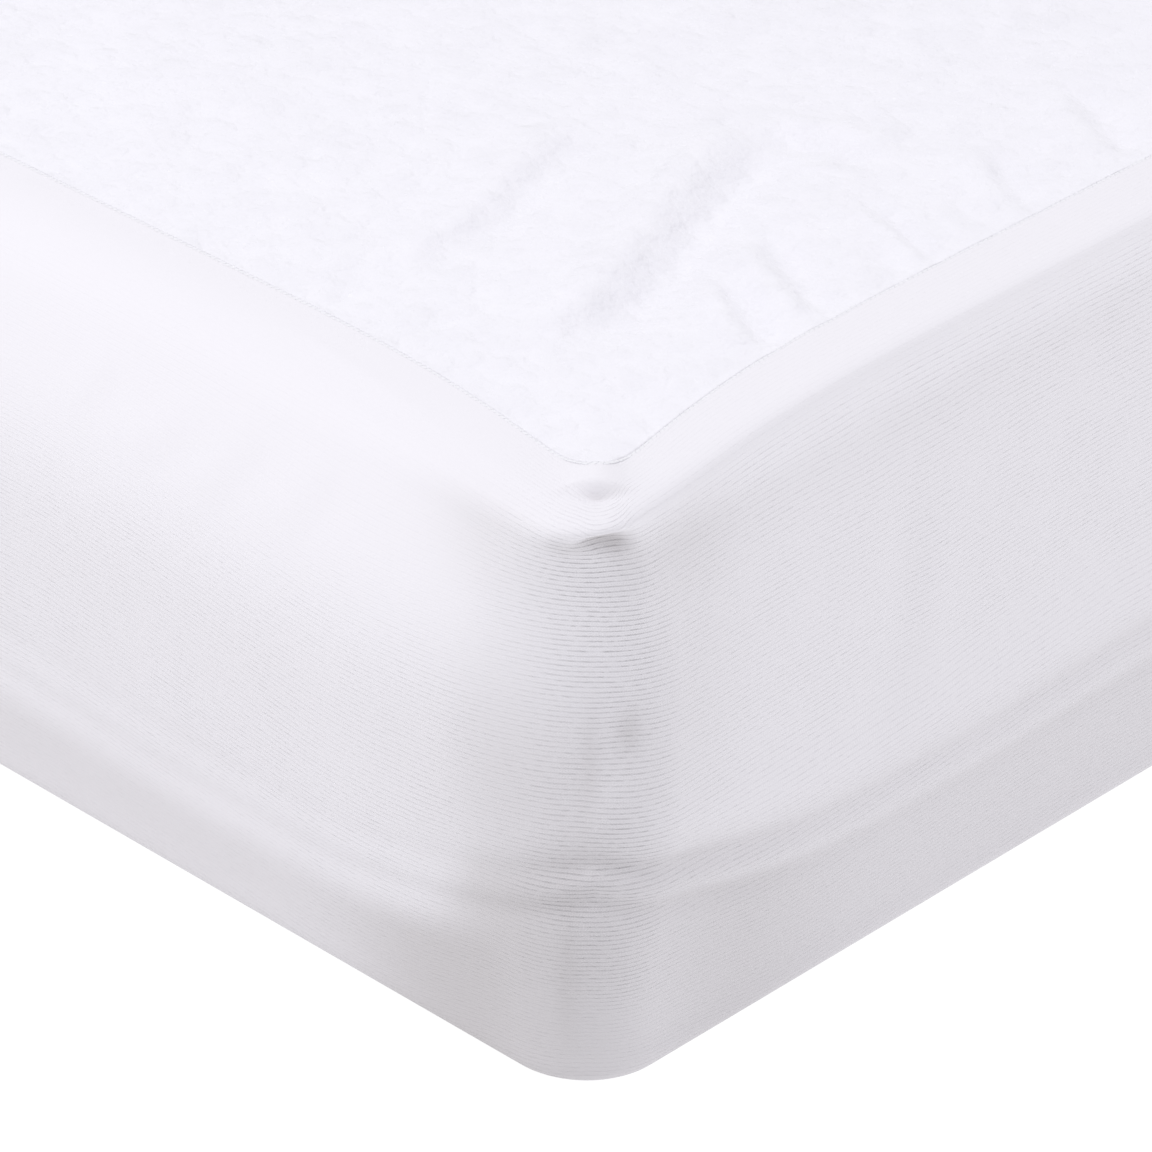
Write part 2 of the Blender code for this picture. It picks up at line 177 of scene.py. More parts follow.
# %% Surround, lamps and floor
SURROUND_COLOUR = (0.985, 0.985, 1.0, 1.0)
SURROUND_STRENGTH = 0.69
Lamp = namedtuple("Lamp", "name direction distance size power")
LAMPS = (
    Lamp("left soft lamp", (-0.373, -0.455, 0.809), 3.6, 1.57, 56.2),
    Lamp("right soft lamp", (0.567, 0.632, 0.529), 2.72, 1.2, 14.2),
)
FLOOR_SIZE = 40.0
FLOOR_COLOUR = (0.22, 0.22, 0.222, 1.0)
FLOOR_GLOW_COLOUR = (1.0, 1.0, 1.0, 1.0)
FLOOR_GLOW = 0.87

bpy.context.scene.view_settings.view_transform = "Standard"


def make_surround():
    world = bpy.data.worlds.new("studio surround")
    world.use_nodes = True
    background = world.node_tree.nodes["Background"]
    background.inputs["Color"].default_value = SURROUND_COLOUR
    background.inputs["Strength"].default_value = SURROUND_STRENGTH
    bpy.context.scene.world = world


def make_lamp(lamp):
    """A square soft lamp that faces the middle of the near corner."""
    lamp_data = bpy.data.lights.new(lamp.name, "AREA")
    lamp_data.shape = "SQUARE"
    lamp_data.size = lamp.size
    lamp_data.energy = lamp.power
    made = add_object(lamp.name, lamp_data)
    toward = Vector(lamp.direction).normalized()
    made.location = corner_edge + toward * lamp.distance
    made.rotation_euler = (-toward).to_track_quat("-Z", "Y").to_euler()


def make_floor():
    bpy.ops.object.select_all(action="DESELECT")
    bpy.ops.mesh.primitive_plane_add(size=FLOOR_SIZE, location=(0.0, 0.0, 0.0))
    floor = bpy.context.active_object
    floor.name = "studio_floor"
    material = bpy.data.materials.new("pale studio floor")
    material.use_nodes = True
    shader = material.node_tree.nodes["Principled BSDF"]
    shader.inputs["Base Color"].default_value = FLOOR_COLOUR
    shader.inputs["Roughness"].default_value = 1.0
    shader.inputs["Emission Color"].default_value = FLOOR_GLOW_COLOUR
    shader.inputs["Emission Strength"].default_value = FLOOR_GLOW
    floor.data.materials.append(material)


make_surround()
for lamp in LAMPS:
    make_lamp(lamp)
make_floor()
print("lamps:", len(LAMPS))

# %% [markdown]
# ## The skirt's section
#
# A row of the tables below is one line that runs right round the skirt. It is given by where it
# lies half way along a short side, half way along a long side and at a corner. The short sides have
# a soft rounded edge, and the long sides and the corners a crisp one, because the cloth is pulled
# harder there. The two radii shape the turn at a corner, and follow is the share of the top's folds
# that the row takes on. The last column says how many mesh lines lie between the row and the next,
# so the mesh is dense at the top edge and at the creases and open on the plain parts.

# %% Rows of the upper part, from the seam with the panel down the sides
UpperRow = namedtuple("UpperRow", "name short_inset short_height long_inset long_height corner_short "
                                  "corner_long corner_height radius_short radius_long follow lines")
UPPER_ROWS = (
    UpperRow("seam", 45.0, 254.5, 44.0, 254.5, 31.6, 25.5, 254.5, 8.0, 8.0, 1.0, 6),
    UpperRow("band_inner", 34.5, 254.7, 36.0, 254.9, 25.0, 20.0, 254.9, 10.0, 10.0, 1.0, 6),
    UpperRow("band_middle", 25.0, 253.9, 26.0, 255.0, 18.5, 15.0, 255.0, 13.0, 13.0, 1.0, 5),
    UpperRow("band_outer", 17.5, 251.7, 16.6, 254.9, 11.0, 8.6, 254.8, 16.0, 16.0, 1.0, 3),
    UpperRow("edge_top", 13.2, 248.7, 12.9, 253.2, 6.2, 4.6, 253.6, 18.0, 18.0, 1.0, 3),
    UpperRow("edge_round", 9.8, 244.8, 11.0, 249.6, 2.8, 1.8, 251.4, 21.0, 21.0, 1.0, 5),
    UpperRow("edge_side", 6.8, 239.0, 9.2, 243.5, 1.6, 1.2, 246.0, 25.0, 24.0, 0.9, 8),
    UpperRow("shoulder", 3.4, 227.0, 6.0, 231.0, 2.4, 2.8, 231.0, 42.0, 35.0, 0.6, 4),
    UpperRow("side_high", 0.4, 209.0, 2.6, 210.0, 1.6, 2.0, 209.5, 60.0, 44.0, 0.2, 5),
    UpperRow("side_upper", -1.8, 184.0, 0.2, 184.0, 0.4, 0.8, 184.0, 72.0, 50.0, 0.0, 5),
    UpperRow("side_middle", -3.0, 156.0, -1.4, 156.0, -0.6, -0.5, 156.0, 76.0, 52.0, 0.0, 5),
    UpperRow("side_lower", -2.6, 130.0, -1.8, 130.0, -1.2, -1.0, 130.0, 72.0, 51.0, 0.0, 8),
)
SEAM_ROW = UPPER_ROWS[0]

# %% Rows of the lower part, whose heights are counted from a crease or from the base
LowerRow = namedtuple("LowerRow", "name crease height inset radius_short radius_long lines")
LOWER_ROWS = (
    LowerRow("roll_high", "high", 10.0, -1.6, 66.0, 48.0, 5),
    LowerRow("crease_high", "high", -3.0, -1.2, 60.0, 46.0, 4),
    LowerRow("roll_low", "low", 4.0, -0.8, 52.0, 43.0, 3),
    LowerRow("crease_low", "low", -4.0, -0.2, 48.0, 41.0, 4),
    LowerRow("below_crease", "low", -15.0, 0.3, 42.0, 37.0, 6),
    LowerRow("base_side", "base", 14.0, 0.2, 38.0, 36.0, 4),
    LowerRow("base_edge", "base", 2.0, 0.2, 36.0, 35.0, 2),
    LowerRow("hem_flat", "base", 0.0, 2.4, 34.0, 33.0, 2),
    LowerRow("hem_inner", "base", 0.0, 12.0, 28.0, 27.0, 3),
    LowerRow("hem_edge", "base", 0.0, 60.0, 12.0, 12.0, 0),
)
HEM_WAVE = 3.0
HEM_WAVE_LENGTH = 210.0
print("rows:", len(UPPER_ROWS) + len(LOWER_ROWS))

# %% [markdown]
# ## The two creases round the sides
#
# The skirt is cut a little too deep for this mattress, and the slack gathers in two soft creases
# that run along the lower part of all four sides and climb at each corner. They are curves through
# a few heights, and lie slightly higher on the long sides.

# %% Heights of the creases by the distance from a corner
CREASE_DISTANCES = (0.0, 30.0, 75.0, 125.0, 200.0, 330.0, 520.0)
CREASE_HEIGHTS = {
    "high": (101.0, 93.5, 82.0, 73.0, 70.0, 74.0, 76.0),
    "low": (85.0, 75.5, 63.0, 54.0, 51.0, 54.0, 56.0),
}
LONG_SIDE_RAISE = 3.0
RAISE_STARTS = (15.0, 60.0)


def crease_height(crease, along):
    raised = LONG_SIDE_RAISE * smooth_step(along, *RAISE_STARTS)
    return smooth_through(CREASE_DISTANCES, CREASE_HEIGHTS[crease], np.abs(along)) + raised


print("creases at a corner:", [float(crease_height(crease, 0.0)) for crease in CREASE_HEIGHTS])

# %% [markdown]
# ## The turned corner
#
# Each row goes round a corner on a quarter ellipse between two straight stretches. Near the top the
# ellipse is small, which makes the corner sharp, and lower down it is wide. Its place is found by
# sharing out the way round between the straight parts and the arc.

# %% Place of a row at a station of the outline
CORNER_ZONE = 90.0
CORNER_REACH = 95.0


def long_side_share(along):
    """0 on a short side, 1 on a long side, with a soft change round the corner."""
    return smooth_step(along, -0.5 * CORNER_ZONE, 0.5 * CORNER_ZONE)


def row_insets(row, distance):
    near = bell(distance, CORNER_REACH)
    return mix(row.long_inset, row.corner_long, near), mix(row.short_inset, row.corner_short, near)


def corner_place(along, in_long, in_short, radius_short, radius_long):
    """In-long and in-short of a place, on a straight, a quarter ellipse and a straight."""
    if along <= -CORNER_ZONE:
        return -along, in_short
    if along >= CORNER_ZONE:
        return in_long, along
    first = CORNER_ZONE - in_long - radius_short
    last = CORNER_ZONE - in_short - radius_long
    arc = 0.5 * math.pi * math.sqrt((radius_short ** 2 + radius_long ** 2) / 2.0)
    path = (along + CORNER_ZONE) / (2.0 * CORNER_ZONE) * (first + arc + last)
    if path < first:
        return CORNER_ZONE - path, in_short
    if path > first + arc:
        return in_long, in_short + radius_long + path - first - arc
    turn = 0.5 * math.pi * (path - first) / arc
    return (in_long + radius_short * (1.0 - math.sin(turn)),
            in_short + radius_long * (1.0 - math.cos(turn)))


def upper_place(row, along):
    """In-long, in-short, height and follow. A second round gives the insets the true distance."""
    distance = abs(along)
    for _ in range(2):
        place = corner_place(along, *row_insets(row, distance), row.radius_short, row.radius_long)
        distance = max(place)
    height = mix(row.short_height, row.long_height, long_side_share(along))
    height = mix(height, row.corner_height, bell(along, CORNER_REACH))
    return *place, float(height), row.follow


def lower_place(row, along):
    height = row.height
    if row.crease != "base":
        height += float(crease_height(row.crease, along))
    inset = row.inset
    if row.name == "hem_edge":
        inset += HEM_WAVE * math.sin(2.0 * math.pi * along / HEM_WAVE_LENGTH)
    place = corner_place(along, inset, inset, row.radius_short, row.radius_long)
    return *place, height, 0.0


print("seam turns at:", [round(value, 1) for value in upper_place(SEAM_ROW, 0.0)])

# %% [markdown]
# ## Folds of the top
#
# The towelling lies flat except near the corner, where the pull of the skirt puckers it. A fold is
# a route on the top: the cloth stands up on the left of the route and sinks on its right, so a soft
# slope lies along the route itself. The drop is how far the crest lies above the flat and the
# hollow below it. The great fold that rises from the corner comes first, then the short puckers
# that start at the seam.

# %% Routes of the folds of the top, as in_long and in_short
Fold = namedtuple("Fold", "name route half_width drop")
TOP_FOLDS = (
    Fold("great_fold", ((111, 88), (113, 125), (127, 166), (149, 214), (161, 250), (163, 268)), 11.5, 4.8),
    Fold("great_fold_arch", ((120, 290), (138, 288), (154, 281), (168, 268)), 7.5, -2.5),
    Fold("long_fold", ((190, 85), (196, 142), (207, 172), (216, 204), (222, 226)), 7.5, 2.5),
    Fold("long_fold_start", ((187, 50), (199, 68), (213, 88)), 5.0, 1.0),
    Fold("pucker_a", ((47, 140), (71, 153), (98, 169)), 6.0, 3.0),
    Fold("pucker_b", ((49, 172), (65, 180), (89, 192), (112, 203)), 7.5, 3.0),
    Fold("pucker_c", ((48, 236), (60, 240), (78, 247), (102, 254)), 4.4, 2.1),
    Fold("pucker_c_tail", ((96, 258), (112, 268), (135, 277)), 6.0, 0.7),
    Fold("pucker_d", ((53, 293), (69, 303), (98, 323)), 6.5, 2.2),
    Fold("pucker_e", ((51, 352), (79, 367), (110, 385)), 7.0, 2.4),
    Fold("short_nick_one", ((46, 102), (54, 105), (64, 110)), 4.5, 0.8),
    Fold("short_nick_two", ((49, 216), (58, 219), (70, 225)), 4.5, 0.8),
    Fold("short_nick_three", ((50, 266), (60, 270), (74, 278)), 4.5, 0.7),
    Fold("end_trough_one", ((57, 52), (60, 72), (63, 92)), 7.0, 0.5),
    Fold("end_trough_two", ((79, 44), (83, 55), (88, 68)), 6.0, 0.5),
    Fold("end_trough_three", ((150, 58), (155, 80), (162, 102)), 8.0, 0.6),
    Fold("far_trough_one", ((228, 112), (236, 126), (247, 142)), 8.0, 0.6),
    Fold("far_trough_two", ((308, 132), (316, 154), (326, 178)), 10.0, 0.7),
    Fold("far_trough_three", ((318, 78), (334, 104), (352, 132)), 10.0, 0.7),
    Fold("far_fold", ((430, 84), (437, 102), (446, 123), (458, 150)), 8.0, 1.6),
    Fold("band_crease", ((93, 15), (139, 19.5), (183, 24)), 3.5, -0.5),
)
FOLD_GROWS_OVER = 0.2
FOLD_FADES_FROM = 0.75
FOLD_LEAST_SHARE = 0.15
ROUTE_SAMPLES = 5


def smooth_route(route):
    """Close points on a smooth curve through a route."""
    stops = np.arange(len(route), dtype=float)
    samples = np.linspace(0.0, len(route) - 1.0, ROUTE_SAMPLES * (len(route) - 1) + 1)
    return smooth_through(stops, route, samples)


def nearest_on_path(places, path):
    """Each place's distance from the path, offset to its left, share of the way and nearest point."""
    best = np.full(len(places), np.inf)
    left = np.zeros(len(places))
    share = np.zeros(len(places))
    point = np.zeros(places.shape)
    for k, (start, end) in enumerate(zip(path, path[1:])):
        run = end - start
        offset = places - start
        t = np.clip(offset @ run / (run @ run), 0.0, 1.0)
        gap = np.linalg.norm(offset - t[:, None] * run, axis=1)
        beside = (run[1] * offset[:, 0] - run[0] * offset[:, 1]) / np.linalg.norm(run)
        nearer = gap < best
        best[nearer] = gap[nearer]
        left[nearer] = beside[nearer]
        share[nearer] = (k + t[nearer]) / (len(path) - 1)
        point[nearer] = (start + t[:, None] * run)[nearer]
    return best, left, share, point


def fold_lift(places, fold):
    """A crest on the left of the fold's route and a hollow on its right, with tapered ends."""
    gap, left, share, _ = nearest_on_path(places, smooth_route(fold.route))
    taper = smooth_step(share, 0.0, FOLD_GROWS_OVER) * fade_out(share, FOLD_FADES_FROM, 1.0)
    across = left / fold.half_width * np.exp(0.5 - 0.5 * (gap / fold.half_width) ** 2)
    return fold.drop * across * mix(FOLD_LEAST_SHARE, 1.0, taper)


# %% [markdown]
# The other three corners and the rest of the seam get puckers of the same kind, spread by a seeded
# draw so that the result is the same each time. Between the folds the cloth is never quite flat, so
# a very low swell and a fine mottle are added with noise that has no seed to change.

# %% Puckers along the rest of the seam
PUCKER_SEED = 41
PUCKER_GAP = (70.0, 120.0)
PUCKER_LENGTH = (38.0, 75.0)
PUCKER_HALF_WIDTH = (6.0, 10.0)
PUCKER_DROP = (0.5, 1.2)
PUCKER_LEAN = 22.0
PUCKER_BEND = 0.4
PUCKER_START = 48.0
END_ROOM = 60.0
NEAR_REGION = 410.0
BED_SIDES = {"near_end": WIDTH, "far_end": WIDTH, "near_long": LENGTH, "far_long": LENGTH}


def pucker_route(side, path):
    """The route measured from the near corner, for a path given as (in from the side, along it)."""
    if side == "near_end":
        return [(along, inward) for inward, along in path]
    if side == "far_end":
        return [(along, LENGTH - inward) for inward, along in path]
    if side == "near_long":
        return path
    return [(WIDTH - inward, along) for inward, along in path]


def far_puckers():
    """Puckers at right angles to the seam on all four sides, except round the near corner."""
    draw = random.Random(PUCKER_SEED)
    puckers = []
    for side, length in BED_SIDES.items():
        place = END_ROOM
        while place < length - END_ROOM:
            reach = draw.uniform(*PUCKER_LENGTH)
            lean = draw.uniform(-PUCKER_LEAN, PUCKER_LEAN)
            path = [(PUCKER_START, place), (PUCKER_START + 0.5 * reach, place + PUCKER_BEND * lean),
                    (PUCKER_START + reach, place + lean)]
            half_width = draw.uniform(*PUCKER_HALF_WIDTH)
            drop = draw.uniform(*PUCKER_DROP)
            if side.startswith("far") or place >= NEAR_REGION:
                puckers.append(Fold(side, pucker_route(side, path), half_width, drop))
            place += draw.uniform(*PUCKER_GAP)
    return tuple(puckers)


FAR_PUCKERS = far_puckers()
print("hand-placed folds:", len(TOP_FOLDS), "drawn puckers:", len(FAR_PUCKERS))

# %% Height of the top
CORNER_DROOP = 6.0
DROOP_REACH = 90.0
SEAM_CORNER = (30.0, 34.5)
BUMP_LIFT = 4.8
BUMP_FRONT = (9.5, 13.2)
BUMP_BACK = 16.0
BUMP_HALF_WIDTH = 10.0
DIMPLE_AHEAD = 15.4
DIMPLE_HALF_LENGTH = 2.4
DIMPLE_HALF_WIDTH = 5.5
DIMPLE_DEPTH = 1.9
SWELL_LENGTH = 150.0
SWELL_LIFT = 0.9
MOTTLE_LENGTH = 11.0
MOTTLE_LIFT = 0.22
NOISE_LAYER = 0.37


def distances_in(across, along):
    """How far in places lie from the nearer long side and from the nearer short side."""
    return np.minimum(across, WIDTH - across), np.minimum(along, LENGTH - along)


def towards_corner(in_long, in_short):
    """How far a place lies ahead of the seam's corner, towards the near corner, and how far aside."""
    back = in_long - SEAM_CORNER[0], in_short - SEAM_CORNER[1]
    return -(back[0] + back[1]) / math.sqrt(2.0), (back[0] - back[1]) / math.sqrt(2.0)


def corner_bump(ahead, aside):
    """The bump where the seam turns. It is soft behind, and falls steeply into a dimple ahead."""
    bump = fade_out(ahead, *BUMP_FRONT) * bell(np.minimum(ahead, 0.0), BUMP_BACK)
    dimple = bell(ahead - DIMPLE_AHEAD, DIMPLE_HALF_LENGTH) * bell(aside, DIMPLE_HALF_WIDTH)
    return BUMP_LIFT * bump * bell(aside, BUMP_HALF_WIDTH) - DIMPLE_DEPTH * dimple


def top_height(in_long, in_short):
    """Height of the top at places measured inwards from the near corner's two sides."""
    places = np.column_stack((in_long.ravel(), in_short.ravel()))
    from_corner = np.hypot(*distances_in(places[:, 0], places[:, 1]))
    height = TOP - CORNER_DROOP * bell(from_corner, DROOP_REACH)
    for fold in TOP_FOLDS + FAR_PUCKERS:
        height += fold_lift(places, fold)
    height += corner_bump(*towards_corner(places[:, 0], places[:, 1]))
    return height.reshape(in_long.shape)


def noise_lift(places, wave_length, lift):
    """Gentle unevenness over flat places."""
    values = [noise.noise(Vector((a / wave_length, b / wave_length, NOISE_LAYER))) for a, b in places]
    return lift * np.array(values)


middle = top_height(np.array([HALF_WIDTH]), np.array([HALF_LENGTH]))
print("top at the middle:", round(float(middle[0]), 2))

# %% [markdown]
# ## Folds of the sides
#
# The skirt's folds push it outwards or let it sink. Two rolls with hollows below them follow the
# creases all the way round. At the near corner the cloth hangs over its own edge in a small lip
# with a hollow under it, and faint tension lines run down from the top edge on both sides.

# %% Rolls along the creases, and the near corner's own dents
CreaseFold = namedtuple("CreaseFold", "name crease height half_width lift_long lift_short")
CREASE_FOLDS = (
    CreaseFold("upper_roll", "high", 14.0, 15.0, 2.4, 0.4),
    CreaseFold("upper_hollow", "high", -3.0, 5.0, -2.8, -0.5),
    CreaseFold("lower_roll", "low", 5.0, 5.0, 1.4, 0.6),
    CreaseFold("lower_hollow", "low", -3.0, 5.5, -2.0, -1.0),
)
CREASE_EASES = (60.0, 150.0)
CREASE_LEAST = 0.5
CREASE_STARTS = (8.0, 30.0)
PLAIN_CORNER_SHARE = 0.6
Spot = namedtuple("Spot", "name along height half_length half_height strength")
SIDE_BUMPS = (
    Spot("lip_overhang", 6.0, 251.5, 16.0, 3.0, 1.0),
    Spot("hollow_wings", 0.0, 239.0, 32.0, 9.0, -1.6),
    Spot("hollow_tail", 8.0, 228.0, 12.0, 12.0, -1.6),
    Spot("bright_swell", 20.0, 212.0, 12.0, 18.0, 1.2),
    Spot("corner_dip", 10.0, 152.0, 10.0, 14.0, -1.4),
    Spot("swell_above_creases", 18.0, 126.0, 22.0, 13.0, 1.8),
    Spot("upright_valley", -10.0, 120.0, 8.0, 34.0, -0.9),
    Spot("upright_hollow", 176.0, 140.0, 12.0, 42.0, -1.2),
    Spot("short_side_dip", -92.0, 128.0, 18.0, 20.0, -1.2),
)
HOLLOW_PLACE = (8.0, 242.5)
HOLLOW_HALF_LENGTH = 12.0
HOLLOW_HALF_HEIGHT = 7.0
HOLLOW_DEPTH = 4.8
SIDE_FOLDS = (
    Fold("long_tension_one", ((240, 250), (268, 234), (300, 215)), 7.0, 0.4),
    Fold("long_tension_two", ((190, 235), (215, 218), (240, 200), (300, 160)), 8.0, 0.5),
    Fold("long_tension_three", ((125, 270), (150, 230), (180, 185)), 8.0, 0.35),
    Fold("long_upright", ((168, 90), (174, 140), (178, 195)), 12.0, 0.8),
    Fold("short_tension_one", ((-132, 225), (-146, 204), (-160, 185)), 7.0, 0.4),
    Fold("short_tension_two", ((-170, 225), (-190, 199), (-210, 175)), 7.0, 0.4),
    Fold("short_tension_three", ((-210, 210), (-228, 197), (-245, 185)), 6.0, 0.4),
    Fold("short_tension_four", ((-255, 220), (-268, 204), (-280, 190)), 6.0, 0.4),
)
FOLD_TOP = (236.0, 246.0)


def spot_sum(spots, along, height):
    """Soft oval spots added up, each with its own place, size and strength."""
    total = np.zeros(along.shape)
    for spot in spots:
        oval = bell(along - spot.along, spot.half_length) * bell(height - spot.height, spot.half_height)
        total += spot.strength * oval
    return total


def lip_hollow(along, height):
    """The hollow under the lip, from 0 to 1: flat in the middle, with a rather sharp rim."""
    reach = ((along - HOLLOW_PLACE[0]) / HOLLOW_HALF_LENGTH) ** 2
    reach += ((height - HOLLOW_PLACE[1]) / HOLLOW_HALF_HEIGHT) ** 2
    return np.exp(-reach ** 2)


def crease_lift(along, height):
    """The rolls and hollows of the creases."""
    lift = np.zeros(along.shape)
    for fold in CREASE_FOLDS:
        line = crease_height(fold.crease, along) + fold.height
        strength = mix(fold.lift_short, fold.lift_long, long_side_share(along))
        share = mix(1.0, CREASE_LEAST, smooth_step(np.abs(along), *CREASE_EASES))
        lift += share * strength * bell(height - line, fold.half_width)
    return lift * smooth_step(height, *CREASE_STARTS)


def near_corner_lift(along, height):
    """The lip, the dents and the tension lines, which only the near corner has."""
    places = np.column_stack((along.ravel(), height.ravel()))
    lines = np.zeros(along.size)
    for fold in SIDE_FOLDS:
        lines += fold_lift(places, fold)
    lift = spot_sum(SIDE_BUMPS, along, height) - HOLLOW_DEPTH * lip_hollow(along, height)
    return lift + lines.reshape(along.shape) * fade_out(height, *FOLD_TOP)


def side_lift(along, height, near_corner):
    """How far the skirt stands out from its plain section. All three are arrays of rows by stations."""
    lift = crease_lift(along, height) * np.where(near_corner, 1.0, PLAIN_CORNER_SHARE)
    return lift + np.where(near_corner, near_corner_lift(along, height), 0.0)


print("crease folds:", len(CREASE_FOLDS), "dents:", len(SIDE_BUMPS), "tension lines:", len(SIDE_FOLDS))

# %% [markdown]
# ## Stations round the skirt
#
# A station is a place on the outline, given by its corner and the distance from it. They lie close
# together round the near corner, where the folds are fine, and further apart elsewhere, which keeps
# the mesh small.

# %% Stations, anticlockwise from the near corner
FINE_STEP = 2.2
CLOSE_STEP = 4.6
CORNER_STEP = 6.0
OPEN_STEP = 20.0
FINE_REACH = 46.0
CLOSE_REACH = 340.0


def spaced(start, end, step):
    count = max(1, round((end - start) / step))
    return list(np.linspace(start, end, count, endpoint=False))


def side_stations(places, length, first_corner, last_corner, sign):
    """Each place along a side, measured from the nearer of its two corners."""
    stations = []
    for place in places:
        near_first = place <= 0.5 * length
        corner = first_corner if near_first else last_corner
        distance = place if near_first else length - place
        stations.append((*corner, sign * distance))
    return stations


def spaced_through(*marks):
    """Places from mark to mark. The marks take turns: a place, the step that follows it, a place."""
    places = []
    for start, step, end in zip(marks[0::2], marks[1::2], marks[2::2]):
        places += spaced(start, end, step)
    return places


def plain_places(length):
    return spaced_through(0.0, CORNER_STEP, CORNER_ZONE, OPEN_STEP,
                          length - CORNER_ZONE, CORNER_STEP, length)


def skirt_stations():
    first_long = spaced_through(0.0, FINE_STEP, FINE_REACH, CLOSE_STEP, CLOSE_REACH, OPEN_STEP,
                                LENGTH - CORNER_ZONE, CORNER_STEP, LENGTH)
    last_short = spaced_through(0.0, CORNER_STEP, CORNER_ZONE, OPEN_STEP,
                                WIDTH - CLOSE_REACH, CLOSE_STEP, WIDTH - FINE_REACH, FINE_STEP, WIDTH)
    stations = side_stations(first_long, LENGTH, (1, -1), (1, 1), 1.0)
    stations += side_stations(plain_places(WIDTH), WIDTH, (1, 1), (-1, 1), -1.0)
    stations += side_stations(plain_places(LENGTH), LENGTH, (-1, 1), (-1, -1), 1.0)
    stations += side_stations(last_short, WIDTH, (-1, -1), (1, -1), -1.0)
    return stations


STATIONS = skirt_stations()
print("stations:", len(STATIONS))


# %% [markdown]
# ## The skirt
#
# First the tables' rows are laid at every station. Then a smooth curve is drawn down each station,
# through the rows, and read at the dense mesh lines. Last the cloth is moved along its own surface
# direction by the folds. A modeller would sculpt this, but placing each fold by number keeps it
# repeatable.

# %% Plain section of the skirt
def mesh_line_levels(rows):
    """Where the mesh lines lie between the rows, with one unit from row to row."""
    levels = []
    for k, row in enumerate(rows[:-1]):
        levels += list(np.linspace(k, k + 1, row.lines, endpoint=False))
    return np.array(levels + [len(rows) - 1.0])


def length_down(places):
    """Cloth length from the first row to each row, at every station."""
    steps = np.linalg.norm(np.diff(places, axis=0), axis=2)
    return np.concatenate((np.zeros((1, places.shape[1])), np.cumsum(steps, axis=0)))


def smooth_down(places, levels):
    """A smooth curve down each station through the rows, read at the mesh lines."""
    measure = length_down(places[:, :, :3])
    rows = np.arange(len(places))
    section = np.zeros((len(levels), *places.shape[1:]))
    for column in range(places.shape[1]):
        wanted = np.interp(levels, rows, measure[:, column])
        section[:, column] = smooth_through(measure[:, column], places[:, column], wanted)
    section[:, :, 2] = np.maximum(section[:, :, 2], 0.0)
    return section


ROWS = UPPER_ROWS + LOWER_ROWS


def table_grid():
    """In-long, in-short, height and follow for every row and station."""
    grid = np.zeros((len(ROWS), len(STATIONS), 4))
    for column, (_, _, along) in enumerate(STATIONS):
        places = [upper_place(row, along) for row in UPPER_ROWS]
        places += [lower_place(row, along) for row in LOWER_ROWS]
        grid[:, column] = places
    return grid


levels = mesh_line_levels(ROWS)
plain_section = smooth_down(table_grid(), levels)
travelled = length_down(plain_section[:, :, :3])
print("mesh lines:", len(levels), "cloth down a side:", round(float(travelled[-1].mean())), "mm")

# %% Folded skirt
SEAM_RIDGE_LIFT = 0.2
SEAM_RIDGE_WIDTH = 3.0
KNIT_UNEVEN_LENGTH = 46.0
KNIT_UNEVEN_LIFT = 0.35
UNEVEN_STARTS = (12.0, 40.0)
UNEVEN_ENDS = (225.0, 245.0)


def surface_direction(places):
    """Unit vectors out of a closed strip, from its neighbours up and down and to both sides."""
    down = np.gradient(places, axis=0)
    onward = 0.5 * (np.roll(places, -1, axis=1) - np.roll(places, 1, axis=1))
    out = np.cross(down, onward)
    return out / np.linalg.norm(out, axis=2, keepdims=True)


side_x = np.array([station[0] for station in STATIONS], dtype=float)
side_y = np.array([station[1] for station in STATIONS], dtype=float)
station_along = np.array([station[2] for station in STATIONS])
line_count = len(levels)
along_grid = np.tile(station_along, (line_count, 1))
near_grid = np.tile((side_x > 0) & (side_y < 0), (line_count, 1))
in_long, in_short, height, follow = (plain_section[:, :, k] for k in range(4))
from_x = np.where(side_x > 0, in_long, WIDTH - in_long)
from_y = np.where(side_y < 0, in_short, LENGTH - in_short)
raised = height + follow * (top_height(from_x, from_y) - TOP)
skirt_plain = np.stack(world_place(side_x, side_y, in_long, in_short, raised), axis=2)
lift = side_lift(along_grid, height, near_grid)
lift += SEAM_RIDGE_LIFT * bell(travelled, SEAM_RIDGE_WIDTH)
middle_line = skirt_plain[line_count // 2]
steps_round = np.linalg.norm(np.roll(middle_line, -1, axis=0) - middle_line, axis=1)
around = np.concatenate(([0.0], np.cumsum(steps_round))) / MM
uneven_places = np.column_stack((np.tile(around[:-1], line_count), travelled.ravel()))
uneven = noise_lift(uneven_places, KNIT_UNEVEN_LENGTH, KNIT_UNEVEN_LIFT).reshape(along_grid.shape)
lift += uneven * smooth_step(height, *UNEVEN_STARTS) * fade_out(height, *UNEVEN_ENDS)
skirt_places = skirt_plain + surface_direction(skirt_plain) * lift[:, :, None] * MM
print("lift from", round(float(lift.min()), 2), "to", round(float(lift.max()), 2), "mm")

# %% [markdown]
# ## Courses of the knit
#
# A knit is made of courses, the lines of loops that run along the cloth. Here they run round the
# sides, but they are not level: the pull of the corner draws them down near the top and lifts them
# below the creases, and they lie further apart where the cloth is stretched. The pattern follows
# the cloth, so each point of the mesh stores its place in the knit as a UV pair: metres round the
# skirt, and metres across the courses.

